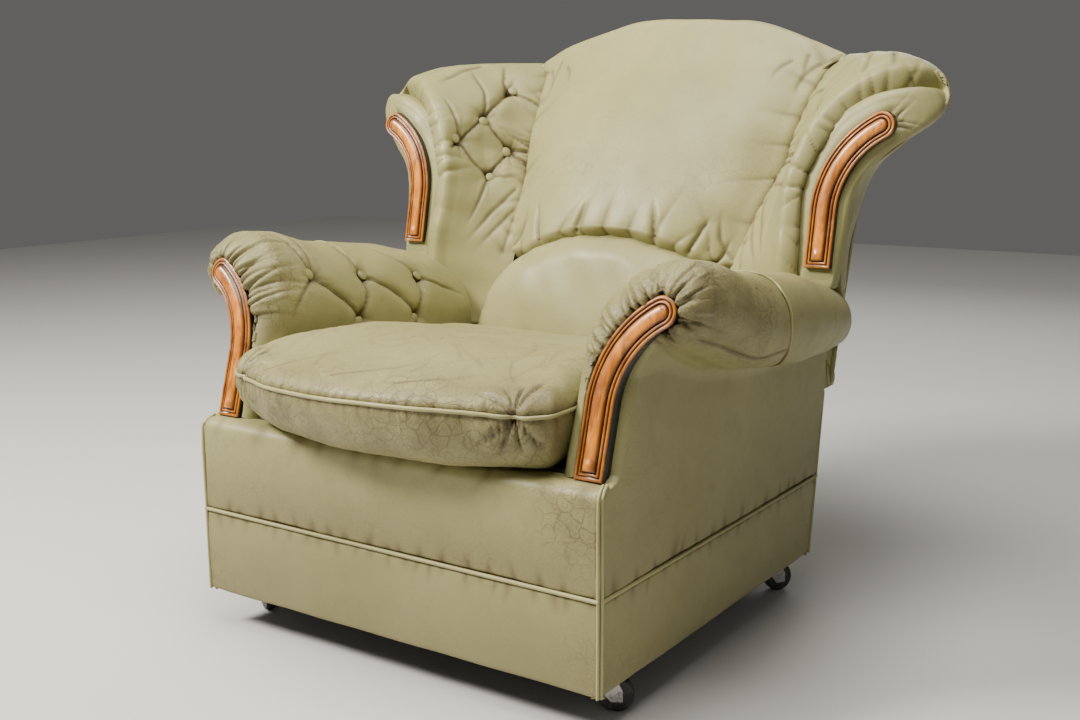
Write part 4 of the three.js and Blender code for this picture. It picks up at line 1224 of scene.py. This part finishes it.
def pillow_rows(across, front_rows):
    """Rows from the gathered bottom edge up the front, over the crest and down behind it."""
    u = np.linspace(-1, 1, across + 1)
    share = np.abs(u)
    heights = np.linspace(0, 1, front_rows + 1)
    joint = through(JOINT_RIDGE, heights * (len(JOINT_RIDGE) - 1))
    centre_z = PILLOW_FOOT + (CREST - PILLOW_FOOT) * heights ** 0.97
    rows = []
    for (jx, jy, jz), zc, step in zip(joint, centre_z, heights):
        x = u * (jx + 2)
        arch = jz + (zc - jz) * (1 - share ** (2.0 + 0.3 * step))
        climbed = zc - PILLOW_FOOT
        middle = 598 + 0.62 * climbed + 0.0004 * climbed ** 2
        y = middle + (jy - 4 - middle) * share ** 2.4
        y = y - 9 * np.sin(math.pi * min(step * 1.25, 1)) * (1 - share ** 4)
        near = math.exp(-(step / 0.10) ** 2)
        seat = np.maximum(lumbar_top(x), 552) + 8
        arch = arch + (seat - arch) * near
        lip = 34 * math.exp(-step / 0.028) * (1 - 0.25 * share ** 6)
        high = float(smooth(step, 0.7, 1.0))
        rows.append(tucked_ends(np.stack([x, y + lip, arch - 20 * math.exp(-step / 0.02)], axis=1),
                                7 - 11 * high, 24 - 34 * high, 2 + 10 * high))
    front_y, top = rows[-1][1:-1, 1], rows[-1][1:-1, 2]
    for back, drop in ((22, 2), (46, 5), (68, 12), (82, 24), (88, 40), (90, 58)):
        x = u * (321 + 1.5 * back / 20)
        y = front_y + back * (1 - 0.72 * share ** 3)
        rows.append(tucked_ends(np.stack([x, y, top - drop * (1 - 0.25 * share)], axis=1), -4, -10, 12))
    return np.array(rows)


PILLOW_CREASES = (  # each from the top, down and inwards: three places as x, z, and the depth
    ((292, 905), (262, 868), (236, 800), 2.6), ((268, 922), (262, 880), (258, 848), 2.0),
    ((276, 836), (262, 800), (254, 764), 2.8), ((238, 900), (214, 872), (196, 820), 1.3))
PILLOW_TUCKS = (  # x, lean, length
    (160, 30, 70), (96, -16, 58), (-60, 14, 50), (-150, -24, 76), (206, 22, 60))


def build_pillow():
    rough = pillow_rows(24, 30)
    skin = metres(cage(rough, 220, 190))
    left, right = (metres(rough[2:31, k]) for k in (1, -2))
    folds = []
    for side in (1, -1):
        for *line, depth in PILLOW_CREASES:
            rough_line = metres([(side * x, 860, z) for x, z in line])
            folds.append(fold(laid_on(skin, rough_line), depth * (1.2 if side > 0 else 0.8), 6, 1.0, 0.8))
        corner = metres([(side * 246, 652, 556), (side * 215, 640, 600), (side * 205, 660, 660)])
        folds.append(fold(laid_on(skin, corner), 5, 7, 2.0, 0.6))
    for x0, lean, length in PILLOW_TUCKS:
        z0 = float(lumbar_top(x0)) + 6
        line = metres([(x0, 620, z0), (x0 + lean / 2, 640, z0 + length / 2), (x0 + lean, 665, z0 + length)])
        folds.append(fold(laid_on(skin, line, 20), 7, 5, 2.4, 0.7))
    fields = [
        gathers(curve(metres(rough[1]), 60), 52, 3.6, 60, 91, width=0.11, slant=0.8, puff=0.3),
        gathers(left, 80, 1.2, 46, 93, width=0.14, slant=0.9),
        gathers(right, 64, 1.8, 60, 94, width=0.12, slant=1.1),
        ripples(95, 190, 3.6), ripples(96, 80, 1.1), tufting(folds)]
    wear = 0.35 * np.exp(-((skin[..., 2] / MM - 700) / 120) ** 2) * (np.abs(skin[..., 0]) / MM < 400)
    leather("back_pillow_leather", skin, metres((0, 860, 780)), "back_pillow", fields, wear)


def build_lumbar():
    across, up = 170, 110
    climb = np.linspace(0, 1, up + 1)
    u, v = np.meshgrid(np.linspace(-1, 1, across + 1), (climb + smooth(climb, 0, 1)) / 2)
    x = LUMBAR["half"] * np.sin(u * math.pi / 2)
    z = LUMBAR["bottom"] + v * (lumbar_top(x) - LUMBAR["bottom"])
    line = LUMBAR["half"] * np.sin(np.linspace(-math.pi / 2, math.pi / 2, 360))
    line = np.stack([line, lumbar_top(line)], axis=1)
    flat = np.stack([x.ravel(), z.ravel()], axis=1)
    gap = np.min(np.linalg.norm(flat[:, None] - line[None], axis=2), axis=1).reshape(x.shape)
    full = 1 - np.clip(np.abs(x) / LUMBAR["half"], 0, 1) ** 2.5
    swell = 26 * full * np.sin(math.pi * np.clip(v, 0, 1)) ** 0.7
    y = LUMBAR["front"] + LUMBAR["rake"] * (z - LUMBAR["bottom"]) - swell + edge_drop(gap, 46)
    skin = metres(np.stack([x, y, z], axis=-1))
    fields = [gathers(curve(skin[-1], 50), 34, 1.6, 40, 101, slant=0.5), ripples(102, 150, 2.6),
              ripples(103, 60, 0.9)]
    leather("lumbar_leather", skin, metres((0, 700, 470)), "lumbar_pad", fields)


def outside_back_form(u, v):
    half = np.interp(345 + v * 500, WING_OUTER[:, 0], WING_OUTER[:, 3]) + 2
    x = (2 * u - 1) * half
    top = np.maximum(crest(x) - 44, 868 - 0.16 * (np.abs(x) - 318))
    z = BACK_LOW + v * (top - BACK_LOW)
    drop = edge_drop(half - np.abs(x), 6) + edge_drop(top - z, 10) + edge_drop(z - BACK_LOW, 6)
    return x, back_rear(z) - 4 + bulge(5, u, v, 0.6, 0.6) - drop, z


def flap_form(u, v):
    return 366 + 4 * np.sin(6 * v + 1) - 3 * u, 744 + 42 * u + 6 * np.sin(7 * v) * u, 342 + 84 * v


def build_outside_back():
    skin = metres(surface(outside_back_form, 130, 110))
    leather("outside_back_leather", skin, metres((0, 700, 600)), "outside_back", [
        ripples(111, 170, 2.2), gathers(curve(skin[-1], 50), 48, 1.2, 36, 112, slant=0.6)])
    edge = np.concatenate([skin[:, 0], skin[-1, 1:-1], skin[::-1, -1]])
    cord("outside_back_piping", curve(edge, 260), 2.6)
    for word, side in SIDES:
        flap = metres(surface(flap_form, 14, 26), side)
        leather(f"back_flap_{word}", flap, metres((300, 700, 400), side), wall=3)


# ---- seat cushion ---------------------------------------------------------------------------------------
CUSHION = {"rear": 548, "side": 281, "front": -14, "bottom": 345, "welt": 429, "rise": 46}


def cushion_edge(count):
    """The welt's line seen from above, as [x, y], once round."""
    side, front, rear = CUSHION["side"], CUSHION["front"], CUSHION["rear"]
    points = [(-side - 11, 40), (-side - 2, 4), (-236, front - 8), (-160, front - 42), (-70, front - 60),
              (20, front - 63), (110, front - 54), (190, front - 30), (238, front - 8), (side + 2, 4),
              (side + 11, 40), (side + 4, 180), (side, 340), (side - 2, 480), (side - 10, rear - 20),
              (side - 40, rear), (100, rear + 2), (-100, rear + 2), (40 - side, rear),
              (10 - side, rear - 20), (2 - side, 480), (-side, 340), (-side - 4, 180)]
    return curve(np.array(points, float), count, closed=True)


STAR_PLEATS = (  # where each ends and its depth: four above the welt, four below it
    (236, 36, 476, 8), (262, 52, 472, 7), (208, 18, 476, 6), (184, -18, 456, 4.5),
    (222, -10, 378, 8), (252, 2, 376, 7), (198, -30, 388, 5), (276, 22, 384, 5))
FRONT_CREASES = ((-190, -90, 1.6), (-40, 90, 1.4), (70, 180, 1.8))  # from x, to x, depth


def cushion_plan():
    """The welt's line, with its points closer together behind than at the front's wide curve."""
    dense = cushion_edge(2400)[:-1]
    run = np.concatenate([[0], np.cumsum(np.where(dense[:, 1] < 60, 1.0, 0.42))])
    count = np.arange(len(run))
    places = np.interp(np.linspace(0, run[-1], 601), run, count)
    return on_line(np.concatenate([dense, dense[:1]]), count, places)


def cushion_rows(edge):
    """A stuffed form in two halves: its rows in mm from the top's middle on, its seam row, and its welt."""
    centre = np.array([0.0, 262.0])
    heart = np.stack([110 * np.tanh(edge[:, 0] / 240), 262 + 36 * np.tanh((edge[:, 1] - 262) / 180)], axis=1)
    reach = np.linalg.norm(edge - heart, axis=1)
    left, right = (np.linalg.norm(edge - (x, -8), axis=1) for x in (-250, 250))
    corner = np.exp(-np.minimum(right, left) / 50)
    front = smooth(-edge[:, 1], -60, 30)

    def spots(inset):
        share = np.clip(inset / reach, 0, 1)[:, None]
        return edge + (heart + (centre - heart) * share ** 3 - edge) * share

    def level(spot, share):
        """The welt's height under a spot: it sinks towards the rear, and dips at the front corners."""
        local = 2.5 * np.sin(edge[:, 0] / 90) - 5 * corner
        return CUSHION["welt"] - 14 * smooth(spot[:, 1], 200, 540) + local * (1 - share) ** 2

    rows = []
    for share in np.linspace(1, 0, 76):
        inset = reach * share ** 1.6
        spot = spots(inset)
        dome = (1 - np.clip(1 - inset / (78 + 34 * front), 0, 1) ** 2.3) ** (1 / 2.2)
        low = 0.26 * front * (1 - smooth(inset, 50, 190)) + 0.12 * corner * (1 - smooth(inset, 40, 160))
        rise = (CUSHION["rise"] - 26 * smooth(spot[:, 1], 200, 560)) * dome * (1 - low)
        crown = 5 * np.exp(-(spot[:, 0] / 210) ** 2 - ((spot[:, 1] - 170) / 150) ** 2)
        rows.append(np.stack([*spot.T, level(spot, share) + rise + crown], axis=1))
    seam_row = len(rows) - 1
    for share in np.linspace(0, 1, 44)[1:]:
        inset = reach * share ** 1.9
        spot = spots(inset)
        sag = (1 - np.clip(1 - inset / 62, 0, 1) ** 2.2) ** (1 / 2.2)
        rows.append(np.stack([*spot.T, level(spot, share) * (1 - sag) + CUSHION["bottom"] * sag], axis=1))
    return np.array(rows), seam_row, np.stack([*edge.T, level(edge, 0.0)], axis=1)


def cushion_folds(skin):
    """Star pleats at the front corners, three long creases, and many fine ones scattered over the top."""
    pleats = []
    for side in (1, -1):
        hub = metres((side * 247, -12, 424))
        for x, y, z, depth in STAR_PLEATS:
            end = metres((side * x, y, z))
            line = laid_on(skin, np.array([hub, hub * 0.5 + end * 0.5, end]), 20)
            pleats.append(fold(line, depth * 1.25, 3.0, 6.5, 0.4, reach=7.5, dirt=0.3))
    for x0, x1, depth in FRONT_CREASES:
        line = metres([(x0, -50, 470), ((x0 + x1) / 2, -10, 482), (x1, 60, 490)])
        pleats.append(fold(laid_on(skin, line, 20), depth, 4, 0.9, 0.8))
    dice = np.random.default_rng(127)
    for _ in range(22):
        x0, y0 = dice.uniform(-235, 235), dice.uniform(-46, 150)
        length, lean, bow = dice.uniform(60, 150), dice.normal(0, 0.7), dice.normal(0, 16)
        line = metres([(x0 + lean * length * t + bow * math.sin(math.pi * t), y0 + length * t, 480)
                       for t in (0, 0.33, 0.67, 1)])
        pleats.append(fold(laid_on(skin, line, 16), dice.uniform(0.8, 1.7), 3.6, 0.5, 0.7, reach=8, dirt=0.3))
    return pleats


def build_cushion():
    edge = cushion_plan()
    rows, seam_row, welt = cushion_rows(edge)
    skin, welt = metres(rows), metres(welt)
    inside = metres((0, 260, 425))
    fields = [
        tufting(cushion_folds(skin)), dimple(metres((247, -14, 424)), 6, 13),
        dimple(metres((-247, -14, 424)), 6, 13),
        gathers(welt[edge[:, 1] < 30], 26, 1.3, 22, 121, width=0.2, slant=0.6),
        seam(welt, 3.5, 5, 0.5), ripples(123, 150, 2.0), ripples(124, 60, 0.9), ripples(125, 26, 0.25)]
    forward = smooth((FRONT - skin[..., 1]) / MM, -60, 50)
    wear = forward * (0.5 + 0.35 * smooth(-skin[..., 2] / MM, -470, -420))
    wear = 0.45 + 0.6 * wear + 0.5 * scuffs(skin, (255, -10, 440), 85)
    shaped = leather("seat_cushion_leather", skin, inside, "seat_cushion", fields, wear, wall=0)
    sewn = shaped[seam_row, :-1]
    for _ in range(4):
        sewn = (np.roll(sewn, 1, axis=0) + 2 * sewn + np.roll(sewn, -1, axis=0)) / 4
    sewn = sewn[::4]
    outwards = (sewn - inside) * (1, 1, 0) * 0.008
    cord("cushion_welt", curve(sewn + outwards, 420, closed=True)[:-1], PIPE, closed=True)


build_base()
for word, side in SIDES:
    build_arm(word, side)
    build_wing(word, side)
    build_border(word, side)
    build_outside_wing(word, side)
    build_facing("arm", word, side, ARM_FACING, ARM_PLANE)
    build_facing("wing", word, side, WING_FACING, WING_PLANE)
build_pillow()
build_lumbar()
build_outside_back()
build_cushion()


# ---- room, lights and camera ------------------------------------------------------------------------------
def build_room():
    maker = bmesh.new()
    bmesh.ops.create_grid(maker, x_segments=1, y_segments=1, size=6.0)
    mesh = new_mesh("floor", maker)
    floor = new_object("floor", mesh)
    mesh.materials.append(new_finish("pale floor", Base_Color=(0.62, 0.61, 0.59, 1), Roughness=0.8)[0])
    world = bpy.data.worlds.new("studio")
    world.use_nodes = True
    background = world.node_tree.nodes["Background"].inputs
    background["Color"].default_value = (0.82, 0.81, 0.79, 1)
    background["Strength"].default_value = 0.15
    bpy.context.scene.world = world


def soft_light(name, spot, size, power, colour):
    """An area light that faces the middle of the chair."""
    lamp = bpy.data.lights.new(name, "AREA")
    lamp.shape = "RECTANGLE"
    lamp.size, lamp.size_y = size
    lamp.energy = power
    lamp.color = colour
    light = new_object(name, lamp)
    light.location = spot
    light.rotation_euler = (Vector((0, 0, 0.5)) - Vector(spot)).to_track_quat("-Z", "Y").to_euler()


def build_camera():
    lens = bpy.data.cameras.new("camera")
    lens.lens, lens.sensor_width = 43.12, 36.0
    camera = new_object("camera", lens)
    turn, tilt, roll = 34.2532, 10.8419, -0.2274
    facing = (Matrix.Rotation(math.radians(turn), 4, "Z") @ Matrix.Rotation(math.radians(90 - tilt), 4, "X")
              @ Matrix.Rotation(math.radians(roll), 4, "Z"))
    camera.matrix_world = Matrix.Translation((1.1913, FRONT - 1.3399, 0.8128)) @ facing
    bpy.context.scene.camera = camera


build_room()
soft_light("key", (-2.0, -2.2, 2.95), (1.1, 0.9), 285, (1.0, 0.96, 0.89))
soft_light("top", (0.2, -0.5, 3.0), (1.6, 1.6), 96, (1.0, 0.97, 0.92))
soft_light("rear", (-0.4, 3.3, 2.2), (1.8, 1.4), 22, (1.0, 0.98, 0.95))
soft_light("fill", (2.8, -1.2, 1.6), (1.6, 1.6), 3, (1.0, 0.95, 0.88))
build_camera()
